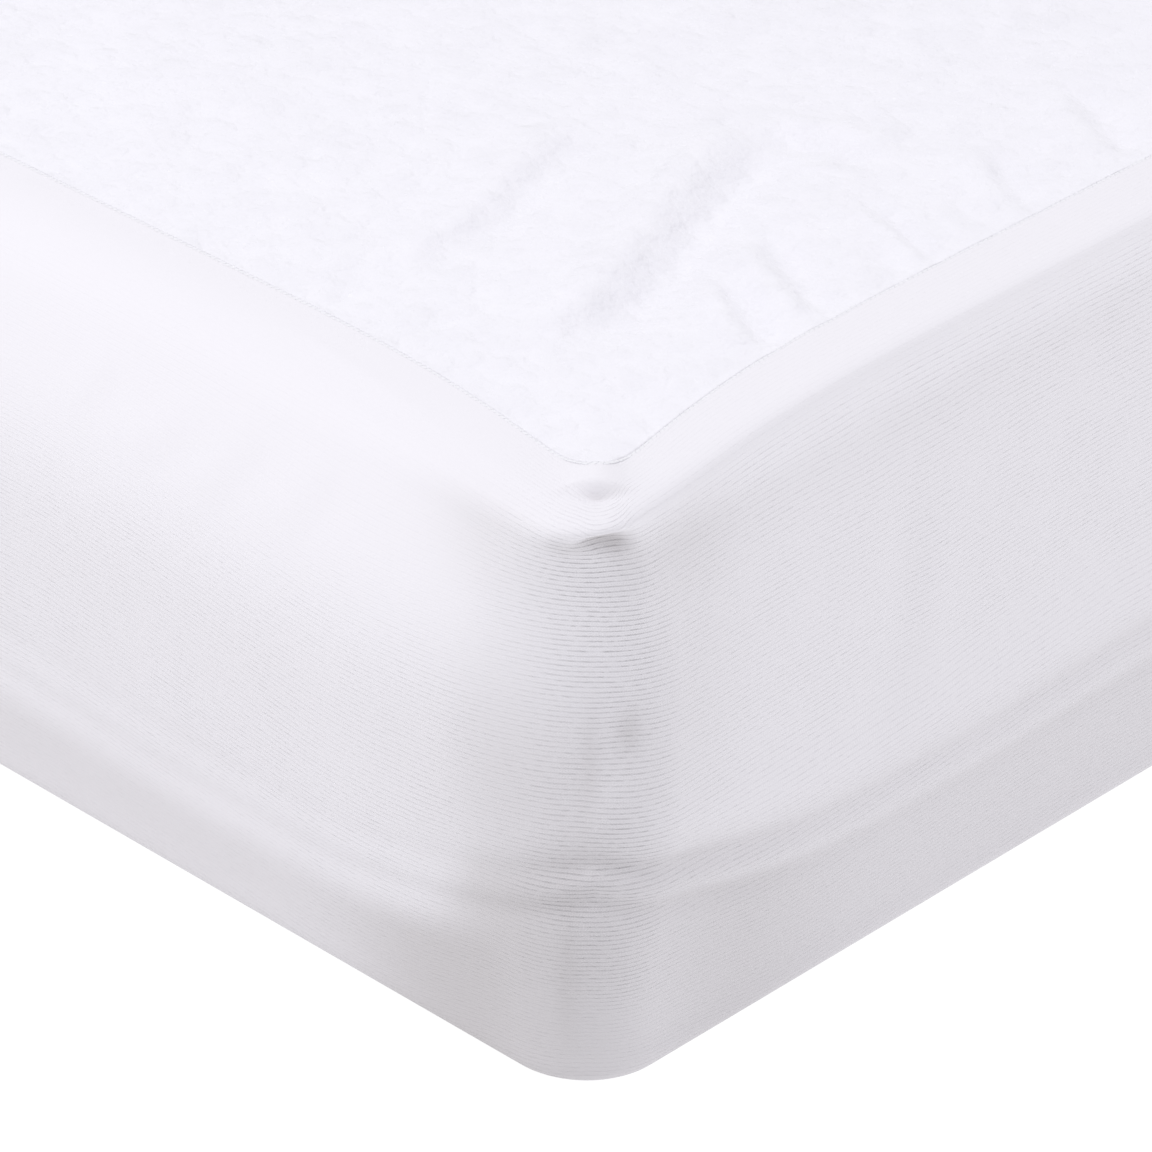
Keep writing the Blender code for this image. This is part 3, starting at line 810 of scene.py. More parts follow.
# %% UV map of the skirt, which counts courses
COURSE = 2.2
COURSE_HEIGHTS = (-5.0, 0.0, 60.0, 100.0, 150.0, 262.0)
COURSES_UP_TO = (-3.0, 0.0, 34.3, 54.6, 77.9, 128.3)
RISE_LEVELS = (40.0, 80.0, 125.0, 190.0, 250.0)
LONG_RISE_DISTANCES = (0.0, 55.0, 100.0, 165.0, 235.0, 300.0)
LONG_RISE = (
    (0.0, -3.5, -8.0, -7.0, -4.0, -2.0),
    (0.0, -3.0, -6.5, -5.5, -0.5, 4.0),
    (0.0, 0.0, 1.4, 4.6, 9.9, 14.6),
    (0.0, 0.8, 2.8, 3.2, 7.0, 8.6),
    (0.0, 1.9, 4.3, 5.8, 6.0, 6.0),
)
SHORT_RISE_DISTANCES = (0.0, 50.0, 93.0, 137.0, 182.0, 228.0, 300.0)
SHORT_RISE = (
    (0.0, -4.0, -11.0, -13.0, -10.0, -6.0, 0.0),
    (0.0, -3.0, -9.0, -11.0, -7.0, -2.0, 5.0),
    (0.0, -2.5, -6.5, -7.0, -3.0, 2.5, 9.0),
    (0.0, -1.5, -5.0, -5.6, -1.6, 4.0, 10.0),
    (0.0, 1.6, 4.0, 5.4, 5.9, 6.0, 6.0),
)


def course_rise(along, height):
    """How far a course lies above its own height at the corner."""
    distance = np.abs(along)
    for k, (long_rise, short_rise) in enumerate(zip(LONG_RISE, SHORT_RISE)):
        on_long = smooth_through(LONG_RISE_DISTANCES, long_rise, distance)
        on_short = smooth_through(SHORT_RISE_DISTANCES, short_rise, distance)
        here = np.where(along > 0, on_long, on_short)
        rise = here if k == 0 else mix(rise, here, smooth_step(height, *RISE_LEVELS[k - 1:k + 1]))
    return rise


def mesh_line_of(row_name):
    return int(np.searchsorted(levels, [row.name for row in ROWS].index(row_name)))


def course_count(places):
    """Courses from the base: by height on the sides, and by cloth length over the edge and below."""
    run = length_down(places / MM)
    level = places[:, :, 2] / MM
    counted = smooth_through(COURSE_HEIGHTS, COURSES_UP_TO, level - course_rise(along_grid, level))
    edge = mesh_line_of("edge_side")
    base = mesh_line_of("base_edge")
    counted[:edge] = counted[edge] + (run[edge] - run[:edge]) / COURSE
    counted[base:] = counted[base] - (run[base:] - run[base]) / COURSE
    return counted


knit_uv = np.zeros((line_count, len(STATIONS) + 1, 2))
knit_uv[:, :, 0] = around * MM
knit_uv[:, :-1, 1] = course_count(skirt_places) * COURSE * MM
knit_uv[:, -1, 1] = knit_uv[:, 0, 1]
print("courses from base to seam:", round(float(knit_uv[0, 0, 1] / COURSE / MM)))


# %% Mesh of a sheet from a grid of places
def make_piece(name, places, faces):
    """A smooth-shaded piece from points in metres."""
    mesh = bpy.data.meshes.new(name)
    mesh.from_pydata(places.reshape(-1, 3).tolist(), [], faces)
    mesh.shade_smooth()
    return add_object(name, mesh)


def sheet_mesh(name, places, uv, closed):
    """Places are rows by columns. A closed sheet joins its last column to its first."""
    rows, columns = places.shape[:2]
    spans = columns if closed else columns - 1
    faces = []
    corners = []
    for row in range(rows - 1):
        for column in range(spans):
            onward = (column + 1) % columns
            faces.append((row * columns + column, (row + 1) * columns + column,
                          (row + 1) * columns + onward, row * columns + onward))
            corners += [(row, column), (row + 1, column), (row + 1, column + 1), (row, column + 1)]
    piece = make_piece(name, places, faces)
    at = np.array(corners)
    layer = piece.data.uv_layers.new(name="cloth")
    layer.data.foreach_set("uv", uv[at[:, 0], at[:, 1]].astype(np.float32).ravel())
    return piece


def select_only(piece):
    bpy.ops.object.select_all(action="DESELECT")
    piece.select_set(True)
    bpy.context.view_layer.objects.active = piece


def give_thickness(piece, thickness):
    select_only(piece)
    solidify = piece.modifiers.new("cloth thickness", "SOLIDIFY")
    solidify.thickness = thickness * MM
    solidify.offset = -1.0
    solidify.use_even_offset = True
    bpy.ops.object.modifier_apply(modifier=solidify.name)


def triangle_count(piece):
    return sum(len(face.vertices) - 2 for face in piece.data.polygons)


# %% [markdown]
# The knit is pulled open where it is stretched most: round the corner and, less, on the sides. Near
# the top of the short sides it lies closed and its courses hardly show. The mesh stores this as an
# attribute, which is one value a point, and the finish reads it.

# %% How far the knit is open
FINISH_CHANGE = (-60.0, 30.0)
OPEN_ON_SIDES = 0.50
OPEN_HIGH_ON_SHORT = 0.10
SHORT_SIDE_CLOSES = (140.0, 205.0)
OPEN_AT_CORNER = 1.05
CORNER_OPEN_PLACE = 2.0
CORNER_OPEN_REACH = 46.0
CORNER_OPENS = (-30.0, 80.0)
BASE_SHARE = 0.70
BASE_OPENS = (8.0, 80.0)
PATCH_BY_SEAM_REACH = 26.0
PATCH_BY_SEAM_ENDS = (10.0, 20.0)
TOP_SHARE = 0.4
TOP_CLOSES = (243.0, 250.0)


def knit_openness(along, height, from_seam):
    on_short = mix(OPEN_ON_SIDES, OPEN_HIGH_ON_SHORT, smooth_step(height, *SHORT_SIDE_CLOSES))
    on_sides = mix(on_short, OPEN_ON_SIDES, smooth_step(along, *FINISH_CHANGE))
    corner = bell(along - CORNER_OPEN_PLACE, CORNER_OPEN_REACH) * smooth_step(height, *CORNER_OPENS)
    openness = np.maximum(on_sides, corner * OPEN_AT_CORNER)
    openness *= mix(BASE_SHARE, 1.0, smooth_step(height, *BASE_OPENS))
    openness *= 1.0 - bell(along, PATCH_BY_SEAM_REACH) * fade_out(from_seam, *PATCH_BY_SEAM_ENDS)
    return openness * mix(1.0, TOP_SHARE, smooth_step(height, *TOP_CLOSES))


# %% [markdown]
# The knit is also painted greyer low down, round the corner and in its creases and dents. This is
# painted shade, which darkens the colour where less light falls. It is a second attribute. Its
# tables give the painted shade along the skirt as a base and some rises and dips, each with its
# strength, place and half width.

# %% Painted shade of the knit, in tables
GREY_SHORT_SIDE = 0.25
GREY_LONG_SIDE = 0.03
GREY_ROUND_CORNER = (0.0, ((0.28, -30.0, 52.0),))
LOWER_GREY_ENDS = (105.0, 205.0)
GREY_LONG_OVERALL = 0.15
LONG_GREY_ENDS = (225.0, 244.0)
GREY_SHOULDER = 0.25
SHOULDER_PLACE = 46.0
SHOULDER_HALF_LENGTH = 34.0
SHOULDER_LEAST = 0.45
SHOULDER_STARTS = (90.0, 150.0)
SHOULDER_GROWS = (190.0, 236.0)
SHOULDER_ENDS = (236.0, 256.0)
CreaseStep = namedtuple("CreaseStep", "crease shift half_range")
HIGH_STEP = CreaseStep("high", 7.0, 12.0)
LOW_STEP = CreaseStep("low", 0.0, 6.0)
HIGH_SHARE = (0.85, 0.55)
HIGH_SHARE_CHANGE = (30.0, 90.0)
GREY_BELOW_LONG = (0.25, ((-0.05, 15.0, 42.0), (0.18, 80.0, 50.0)))
FIRST_STEP_SHIFT = (16.0, -12.0)
FIRST_STEP_CHANGE = (50.0, 92.0)
FIRST_STEP_HALF_RANGE = 17.0
GREY_FIRST_STEP = (0.0, ((0.34, -38.0, 52.0),))
SECOND_STEP = CreaseStep("low", -17.0, 9.0)
GREY_SECOND_STEP = (0.25, ((0.20, -100.0, 35.0), (-0.22, -30.0, 35.0)))
GREY_IN_CREASES = (0.06, ((0.04, 25.0, 45.0),))
SHORT_CREASE_SHARE = 0.5
CREASE_LINE_SHIFT = -2.0
CREASE_LINE_HALF_HEIGHT = 4.0
PAINTED_SHADE_IN_HOLLOW = 0.60
PAINTED_SHADE_SPOTS = (
    Spot("hollow_wing", -9.0, 239.5, 10.0, 6.0, 0.36),
    Spot("corner_dip", 12.0, 152.0, 6.5, 9.0, 0.30),
    Spot("under_hollow", 13.0, 235.5, 11.0, 7.0, 0.26),
    Spot("upright_valley", -6.0, 136.0, 4.5, 24.0, 0.20),
    Spot("upright_low", -9.0, 50.0, 5.0, 34.0, 0.10),
)
DIMPLE_PAINTED_SHADE = (
    Spot("dimple_slope", -1.0, DIMPLE_AHEAD - 1.5, 5.0, 1.7, 0.40),
    Spot("dimple_wing", -8.0, DIMPLE_AHEAD - 3.5, 5.0, 2.2, 0.12),
)


def curve_along(along, base, bells):
    """A base value with soft rises and dips along the skirt."""
    value = np.full(along.shape, base)
    for strength, place, half_width in bells:
        value += strength * bell(along - place, half_width)
    return value


def below_crease(along, height, crease, shift, half_range):
    """From 0 above a line that runs a shift away from a crease, to 1 below it."""
    line = crease_height(crease, along) + shift
    return fade_out(height, line - half_range, line + half_range)


def painted_shade_below_creases(along, height, side):
    """One step of painted shade below the creases on the long sides, and two steps on the short sides."""
    away = np.abs(along)
    high = below_crease(along, height, *HIGH_STEP)
    low = below_crease(along, height, *LOW_STEP)
    on_long = mix(low, high, mix(*HIGH_SHARE, smooth_step(away, *HIGH_SHARE_CHANGE)))
    on_long *= curve_along(along, *GREY_BELOW_LONG)
    shift = mix(*FIRST_STEP_SHIFT, smooth_step(away, *FIRST_STEP_CHANGE))
    first = below_crease(along, height, "low", shift, FIRST_STEP_HALF_RANGE)
    second = below_crease(along, height, *SECOND_STEP)
    on_short = first * curve_along(along, *GREY_FIRST_STEP)
    on_short += second * curve_along(along, *GREY_SECOND_STEP)
    return mix(on_short, on_long, side)


# Painted shade: darker low down, on the corner's shoulders, below the creases and along them.
def knit_painted_shade(along, height):
    side = smooth_step(along, *FINISH_CHANGE)
    grey = mix(GREY_SHORT_SIDE, GREY_LONG_SIDE, side) + curve_along(along, *GREY_ROUND_CORNER)
    grey *= fade_out(height, *LOWER_GREY_ENDS)
    grey += GREY_LONG_OVERALL * side * fade_out(height, *LONG_GREY_ENDS)
    shoulder = mix(SHOULDER_LEAST, 1.0, smooth_step(height, *SHOULDER_GROWS))
    shoulder *= smooth_step(height, *SHOULDER_STARTS) * fade_out(height, *SHOULDER_ENDS)
    grey += GREY_SHOULDER * shoulder * bell(np.abs(along) - SHOULDER_PLACE, SHOULDER_HALF_LENGTH)
    grey += painted_shade_below_creases(along, height, side)
    for crease in CREASE_HEIGHTS:
        line = crease_height(crease, along) + CREASE_LINE_SHIFT
        depth = curve_along(along, *GREY_IN_CREASES) * mix(SHORT_CREASE_SHARE, 1.0, side)
        grey += depth * bell(height - line, CREASE_LINE_HALF_HEIGHT)
    return grey


def near_corner_painted_shade(along, height, ahead, aside):
    """Painted shade in the hollow, the dents and the dimple, which only the near corner has."""
    grey = PAINTED_SHADE_IN_HOLLOW * lip_hollow(along, height) + spot_sum(PAINTED_SHADE_SPOTS, along, height)
    return grey + spot_sum(DIMPLE_PAINTED_SHADE, aside, ahead)


# %% Skirt mesh with its two attributes
SKIRT_THICKNESS = 1.6


def store_values(piece, name, values):
    attribute = piece.data.attributes.new(name, "FLOAT", "POINT")
    attribute.data.foreach_set("value", values.astype(np.float32).ravel())


# The painted shade, stored on the skirt as its second attribute.
own_painted_shade = near_corner_painted_shade(along_grid, height, *towards_corner(in_long, in_short))
painted_shade = knit_painted_shade(along_grid, height) + np.where(near_grid, own_painted_shade, 0.0)
skirt = sheet_mesh("knitted_side_skirt", skirt_places, knit_uv, closed=True)
store_values(skirt, "openness", knit_openness(along_grid, height, travelled))
store_values(skirt, "painted_shade", painted_shade)
give_thickness(skirt, SKIRT_THICKNESS)
print("skirt triangles:", triangle_count(skirt))

# %% [markdown]
# ## The towelling panel
#
# The panel is a grid of lines across and along the bed, close together near the seam and in the
# folded corner. Its four corners are rounded by moving the points of a small square into a quarter
# disc, and its edge is then laid exactly against the first line of the skirt, so that the two
# cloths meet all round.

# %% Lines of the panel
PANEL_THICKNESS = 2.4
EDGE_LINES = (0.0, 1.2, 2.6, 4.4, 6.6)
FIRST_CLOSE_LINE = 9.0
CLOSE_LINE = 3.0
OPEN_LINE = 16.0
PANEL_CLOSE_REACH = 410.0
PANEL_BEND_REACH = 200.0
SEAM_RADIUS = SEAM_ROW.radius_long
SEAM_LONG, SEAM_SHORT = row_insets(SEAM_ROW, SEAM_ROW.corner_short + SEAM_RADIUS)


def panel_lines(seam, size):
    start = [seam + line for line in EDGE_LINES]
    end = [size - seam - line for line in reversed(EDGE_LINES)]
    inner = spaced_through(seam + FIRST_CLOSE_LINE, CLOSE_LINE, PANEL_CLOSE_REACH, OPEN_LINE,
                           size - seam - FIRST_CLOSE_LINE)
    return np.array(start + inner + end)


def push_inwards(across, along, by_long, by_short):
    """Places moved in from the nearer long side and from the nearer short side."""
    return (across + np.where(across < HALF_WIDTH, by_long, -by_long),
            along + np.where(along < HALF_LENGTH, by_short, -by_short))


def bend_to_seam(across, along):
    """Lines follow the seam, which lies further out near a corner."""
    to_long, to_short = distances_in(across, along)
    by_long = row_insets(SEAM_ROW, to_short)[0] - SEAM_LONG
    by_short = row_insets(SEAM_ROW, to_long)[1] - SEAM_SHORT
    by_long *= np.clip(1.0 - (to_long - SEAM_LONG) / PANEL_BEND_REACH, 0.0, 1.0)
    by_short *= np.clip(1.0 - (to_short - SEAM_SHORT) / PANEL_BEND_REACH, 0.0, 1.0)
    return push_inwards(across, along, by_long, by_short)


def round_corner(across, along):
    """Move the points of the small square at each corner into a quarter disc."""
    to_long, to_short = distances_in(across, along)
    x = np.clip(1.0 - (to_long - SEAM_LONG) / SEAM_RADIUS, 0.0, 1.0)
    y = np.clip(1.0 - (to_short - SEAM_SHORT) / SEAM_RADIUS, 0.0, 1.0)
    by_long = SEAM_RADIUS * x * (1.0 - np.sqrt(1.0 - 0.5 * y * y))
    by_short = SEAM_RADIUS * y * (1.0 - np.sqrt(1.0 - 0.5 * x * x))
    return push_inwards(across, along, by_long, by_short)


lines_across = panel_lines(SEAM_LONG, WIDTH)
lines_along = panel_lines(SEAM_SHORT, LENGTH)
across_grid, lengthwise_grid = np.meshgrid(lines_across, lines_along)
panel_long, panel_short = bend_to_seam(*round_corner(across_grid, lengthwise_grid))
print("panel lines:", len(lines_across), "across and", len(lines_along), "along")

# %% Edge of the panel, laid against the skirt
SEAM_GAP = 0.05
CORNER_TURN = 6.0


def inward_of(places):
    """Unit directions towards the middle of the bed, square to the nearer side."""
    to_middle = np.array([HALF_WIDTH, HALF_LENGTH]) - places
    room = np.array([HALF_WIDTH - SEAM_LONG, HALF_LENGTH - SEAM_SHORT]) - np.abs(to_middle)
    inward = np.sign(to_middle) * bell(np.maximum(room, 0.0), CORNER_TURN)
    return inward / np.linalg.norm(inward, axis=1, keepdims=True)


seam_loop = np.column_stack((from_x[0], from_y[0]))
on_edge = np.zeros(panel_long.shape, dtype=bool)
on_edge[[0, -1], :] = True
on_edge[:, [0, -1]] = True
edge_places = np.column_stack((panel_long[on_edge], panel_short[on_edge]))
laid = nearest_on_path(edge_places, np.vstack((seam_loop, seam_loop[:1])))[-1]
laid += inward_of(laid) * SEAM_GAP
panel_long[on_edge] = laid[:, 0]
panel_short[on_edge] = laid[:, 1]
print("edge points moved by at most", round(float(np.abs(laid - edge_places).max()), 2), "mm")

# %% Height of the panel, with its swell and its mottle
PANEL_RIDGE_LIFT = 0.3
PANEL_RIDGE_WIDTH = 2.6
SWELL_STARTS = (1.0, 14.0)

panel_height = top_height(panel_long, panel_short)
flat_places = np.column_stack((panel_long.ravel(), panel_short.ravel()))
to_long, to_short = distances_in(across_grid, lengthwise_grid)
inside = np.minimum(to_long - SEAM_LONG, to_short - SEAM_SHORT)
swell = noise_lift(flat_places, SWELL_LENGTH, SWELL_LIFT)
swell += noise_lift(flat_places, MOTTLE_LENGTH, MOTTLE_LIFT)
panel_height += swell.reshape(panel_height.shape) * smooth_step(inside, *SWELL_STARTS)
panel_height += PANEL_RIDGE_LIFT * bell(inside, PANEL_RIDGE_WIDTH)
panel_places = np.stack(world_place(1, -1, panel_long, panel_short, panel_height), axis=2)
panel_uv = np.stack((across_grid, lengthwise_grid), axis=2) * MM
panel = sheet_mesh("towelling_top", panel_places, panel_uv, closed=False)
give_thickness(panel, PANEL_THICKNESS)
print("panel triangles:", triangle_count(panel))

# %% [markdown]
# ## Stitches of the seam
#
# The seam is overlocked: a thread binds the two raw edges into a thin rounded ridge, and shows on
# it as small slanted arches, one every few millimetres. The ridge is a tube drawn round the seam.
# One arch is made by spinning a small ring of six points through half a turn, and is then repeated
# round the seam in code, because there are about two thousand of them and each follows the turn and
# rise of the cloth.

# %% One arch of thread
STITCH_PITCH = 2.7
STITCH_REACH = 1.0
THREAD_RADIUS = 0.13
THREAD_SIDES = 6
ARCH_STEPS = 4
MERGE_WITHIN = 0.001
STITCH_RISE = 0.15
STITCH_SLANT = 0.8


def edit_all(piece):
    """Into edit mode, with the whole piece selected."""
    select_only(piece)
    bpy.ops.object.mode_set(mode="EDIT")
    bpy.ops.mesh.select_all(action="SELECT")


def face_outwards():
    """All selected faces point out. This ends the edit."""
    bpy.ops.mesh.normals_make_consistent(inside=False)
    bpy.ops.object.mode_set(mode="OBJECT")


def make_arch():
    """A ring spun over the seam. It is in millimetres until it is placed."""
    bpy.ops.object.select_all(action="DESELECT")
    bpy.ops.mesh.primitive_circle_add(vertices=THREAD_SIDES, radius=THREAD_RADIUS, fill_type="NGON",
                                      location=(0.0, -STITCH_REACH, 0.0))
    made = bpy.context.active_object
    bpy.ops.object.transform_apply(location=True)
    edit_all(made)
    bpy.ops.mesh.spin(steps=ARCH_STEPS, angle=math.pi, center=(0.0, 0.0, 0.0), axis=(1.0, 0.0, 0.0))
    bpy.ops.mesh.select_all(action="SELECT")
    bpy.ops.mesh.remove_doubles(threshold=MERGE_WITHIN)
    face_outwards()
    return made


arch = make_arch()
arch_points = np.array([tuple(vertex.co) for vertex in arch.data.vertices])
arch_faces = [tuple(face.vertices) for face in arch.data.polygons]
bpy.data.objects.remove(arch, do_unlink=True)
print("arch:", len(arch_points), "points,", len(arch_faces), "faces")

# %% The bound ridge and its arches
RIDGE_SIDES = 8
RIDGE_SUNK = 0.16
RIDGE_HALF_WIDTH = 1.2
RIDGE_RISE = 0.24
RIDGE_STEP = 2.0


def even_points(loop, pitch):
    """Points at an even pitch round a closed loop, with the directions onward and across at each."""
    ring = np.vstack((loop, loop[:1]))
    steps = np.linalg.norm(np.diff(ring, axis=0), axis=1)
    run = np.concatenate(([0.0], np.cumsum(steps)))
    count = int(run[-1] / pitch)
    at = np.linspace(0.0, run[-1], count, endpoint=False)
    points = np.column_stack([np.interp(at, run, ring[:, k]) for k in range(3)])
    onward = np.roll(points, -1, axis=0) - np.roll(points, 1, axis=0)
    onward /= np.linalg.norm(onward, axis=1, keepdims=True)
    across = np.cross((0.0, 0.0, 1.0), onward)
    across /= np.linalg.norm(across, axis=1, keepdims=True)
    return points, onward, across


def ridge_tube(seam_line):
    """An oval tube along the seam, closed on itself."""
    points, _, across = even_points(seam_line, RIDGE_STEP)
    rings = []
    for k in range(RIDGE_SIDES):
        turn = 2.0 * math.pi * k / RIDGE_SIDES
        rise = RIDGE_RISE * math.sin(turn) - RIDGE_SUNK
        rings.append(points + RIDGE_HALF_WIDTH * math.cos(turn) * across + (0.0, 0.0, rise))
    places = np.stack(rings, axis=1)
    faces = []
    for ring in range(len(points)):
        onward = (ring + 1) % len(points)
        for k in range(RIDGE_SIDES):
            beside = (k + 1) % RIDGE_SIDES
            faces.append((ring * RIDGE_SIDES + k, ring * RIDGE_SIDES + beside,
                          onward * RIDGE_SIDES + beside, onward * RIDGE_SIDES + k))
    return places.reshape(-1, 3), faces


def arches_along(seam_line, first_index):
    """Every arch, placed over the ridge with a slant."""
    points, onward, across = even_points(seam_line, STITCH_PITCH)
    shape = arch_points * np.array((1.0, 1.0, STITCH_RISE / STITCH_REACH))
    shape[:, 0] += STITCH_SLANT * shape[:, 1] / STITCH_REACH
    places = []
    faces = []
    for k, point in enumerate(points):
        placed = point + np.outer(shape[:, 0], onward[k]) + np.outer(shape[:, 1], across[k])
        places.append(placed + np.outer(shape[:, 2], (0.0, 0.0, 1.0)))
        first = first_index + k * len(arch_points)
        faces += [tuple(index + first for index in face) for face in arch_faces]
    return np.vstack(places), faces


def make_stitches():
    seam_line = skirt_places[0] / MM
    tube_places, tube_faces = ridge_tube(seam_line)
    arch_places, faces = arches_along(seam_line, len(tube_places))
    piece = make_piece("seam_stitches", np.vstack((tube_places, arch_places)) * MM, tube_faces + faces)
    edit_all(piece)
    face_outwards()
    return piece


stitches = make_stitches()
print("seam triangles:", triangle_count(stitches))

# %% [markdown]
# ## The mattress inside
#
# Only its underside can be seen, inside the hem, but it is modelled whole. It starts as a cube at
# its true size. The four upright edges are bevelled first, for the rounded plan, and then the top
# and bottom rims, so that the second bevel runs smoothly round the corners.

# %% Mattress with rounded corners and rims
MATTRESS_CORNER_RADIUS = 64.0
MATTRESS_CORNER_SEGMENTS = 12
MATTRESS_RIM_RADIUS = 24.0
MATTRESS_RIM_SEGMENTS = 6
SMOOTH_UP_TO = math.radians(40.0)
LEVEL_WITHIN = 0.001


def bevel_edges(piece, level, radius, segments):
    """Round off either the level edges or the upright ones."""
    bpy.ops.object.mode_set(mode="EDIT")
    bpy.ops.mesh.select_mode(type="EDGE")
    bpy.ops.mesh.select_all(action="DESELECT")
    bpy.ops.object.mode_set(mode="OBJECT")
    for edge in piece.data.edges:
        first, second = (piece.data.vertices[index].co for index in edge.vertices)
        edge.select = (abs(first.z - second.z) < LEVEL_WITHIN) == level
    bpy.ops.object.mode_set(mode="EDIT")
    bpy.ops.mesh.bevel(offset=radius * MM, segments=segments, profile=0.5, affect="EDGES")
    bpy.ops.object.mode_set(mode="OBJECT")


def make_mattress():
    size = mattress_high - mattress_low
    bpy.ops.object.select_all(action="DESELECT")
    bpy.ops.mesh.primitive_cube_add(size=1.0, location=(mattress_low + mattress_high) / 2.0, scale=size)
    piece = bpy.context.active_object
    piece.name = "mattress_block"
    bpy.ops.object.transform_apply(location=True, rotation=True, scale=True)
    bevel_edges(piece, level=False, radius=MATTRESS_CORNER_RADIUS, segments=MATTRESS_CORNER_SEGMENTS)
    bevel_edges(piece, level=True, radius=MATTRESS_RIM_RADIUS, segments=MATTRESS_RIM_SEGMENTS)
    bpy.ops.object.shade_smooth_by_angle(angle=SMOOTH_UP_TO)
    return piece


mattress = make_mattress()
print("mattress faces:", len(mattress.data.polygons))

# %% [markdown]
# ## Finishes
#
# All three cloths are white with a breath of lavender. What tells them apart is the surface: the
# knit has fine lines, the towelling has a soft pile without a direction, and the ticking has a
# tight plain weave. Each finish is built from a few patterns that feed the colour a little and the
# bump much more.

# %% Helpers for building a finish
SPECULAR_LEVEL = 0.2


def new_finish(name, colour, roughness, sheen, sheen_roughness):
    material = bpy.data.materials.new(name)
    material.use_nodes = True
    shader = material.node_tree.nodes["Principled BSDF"]
    shader.inputs["Base Color"].default_value = (*colour, 1.0)
    shader.inputs["Roughness"].default_value = roughness
    shader.inputs["Specular IOR Level"].default_value = SPECULAR_LEVEL
    shader.inputs["Sheen Weight"].default_value = sheen
    shader.inputs["Sheen Roughness"].default_value = sheen_roughness
    return material, material.node_tree, shader


def calculate(tree, operation, first, second=None, third=None):
    """A Math node. Inputs are numbers or other nodes' outputs."""
    node = tree.nodes.new("ShaderNodeMath")
    node.operation = operation
    for socket, value in zip(node.inputs, (first, second, third)):
        if value is None:
            continue
        if isinstance(value, (int, float)):
            socket.default_value = value
        else:
            tree.links.new(value, socket)
    return node.outputs["Value"]


def noise_pattern(tree, place, size, detail, roughness=0.5):
    """Noise with features of a size in millimetres."""
    node = tree.nodes.new("ShaderNodeTexNoise")
    node.inputs["Scale"].default_value = 1.0 / (size * MM)
    node.inputs["Detail"].default_value = detail
    node.inputs["Roughness"].default_value = roughness
    tree.links.new(place, node.inputs["Vector"])
    return node.outputs["Fac"]


def tint(tree, light, dark, share):
    """A colour between light at share 0 and dark at share 1. A colour may be a node's output."""
    node = tree.nodes.new("ShaderNodeMix")
    node.data_type = "RGBA"
    for socket, colour in ((node.inputs["A"], light), (node.inputs["B"], dark)):
        if isinstance(colour, tuple):
            socket.default_value = (*colour, 1.0)
        else:
            tree.links.new(colour, socket)
    tree.links.new(share, node.inputs["Factor"])
    return node.outputs["Result"]


def raise_surface(tree, height, depth, after=None):
    """A Bump node whose full height is a depth in millimetres."""
    node = tree.nodes.new("ShaderNodeBump")
    node.inputs["Strength"].default_value = 1.0
    node.inputs["Distance"].default_value = depth * MM
    tree.links.new(height, node.inputs["Height"])
    if after is not None:
        tree.links.new(after, node.inputs["Normal"])
    return node.outputs["Normal"]


def object_place(tree):
    return tree.nodes.new("ShaderNodeTexCoord").outputs["Object"]


def split_place(tree, place):
    node = tree.nodes.new("ShaderNodeSeparateXYZ")
    tree.links.new(place, node.inputs["Vector"])
    return node.outputs["X"], node.outputs["Y"]


def spread(tree, value, low, high):
    """A value from 0 to 1, spread out to run from low to high."""
    return calculate(tree, "MULTIPLY_ADD", value, high - low, low)


def wave(tree, value, period, offset=0.0):
    """From 0 to 1 and back in each period of millimetres. The offset is a share of a period."""
    turned = calculate(tree, "MULTIPLY_ADD", value, 2.0 * math.pi / (period * MM), 2.0 * math.pi * offset)
    return calculate(tree, "MULTIPLY_ADD", calculate(tree, "COSINE", turned), 0.5, 0.5)


def read_value(tree, name):
    """A value that the mesh stores at its points."""
    node = tree.nodes.new("ShaderNodeAttribute")
    node.attribute_name = name
    return node.outputs["Fac"]


def wear(piece, finish):
    """Put a finish on a piece, and say how large it is."""
    piece.data.materials.append(finish)
    print(finish.name, "nodes:", len(finish.node_tree.nodes))


print("specular level of all cloths:", SPECULAR_LEVEL)

# %% [markdown]
# ### Knitted skirt
#
# One course is drawn by a cosine of the second UV value. Raised to a power it becomes a narrow
# groove, and a second, weaker groove lies half way between, broken into dots by the wales, the
# columns of loops. The grooves are deeper where the openness attribute says that the cloth is
# pulled open.

# %% Knit finish
KNIT_WHITE = (0.815, 0.798, 0.846)
KNIT_SHADE = (0.500, 0.485, 0.520)
# Colour of the painted shade, towards which the knit's white is tinted.
KNIT_PAINTED_SHADE = (0.506, 0.485, 0.499)
WALE = 1.05
COURSE_WANDER = 0.5
BREAK_STRETCH = (0.45, 1.0, 1.0)
BREAK_STRENGTH = 2.0
GROOVE_SHARPNESS = 8.0
DOT_RANGE = (0.1, 0.9)
HALF_GROOVE_SHARE = 0.4
OPEN_RANGE = (0.5, 1.4)
LINE_SHADE = 0.22
FUZZ_SHARE = 0.40


def course_groove(tree, across, offset):
    """A narrow groove in each course. An offset of a half puts it half way between."""
    return calculate(tree, "POWER", wave(tree, across, COURSE, offset), GROOVE_SHARPNESS)


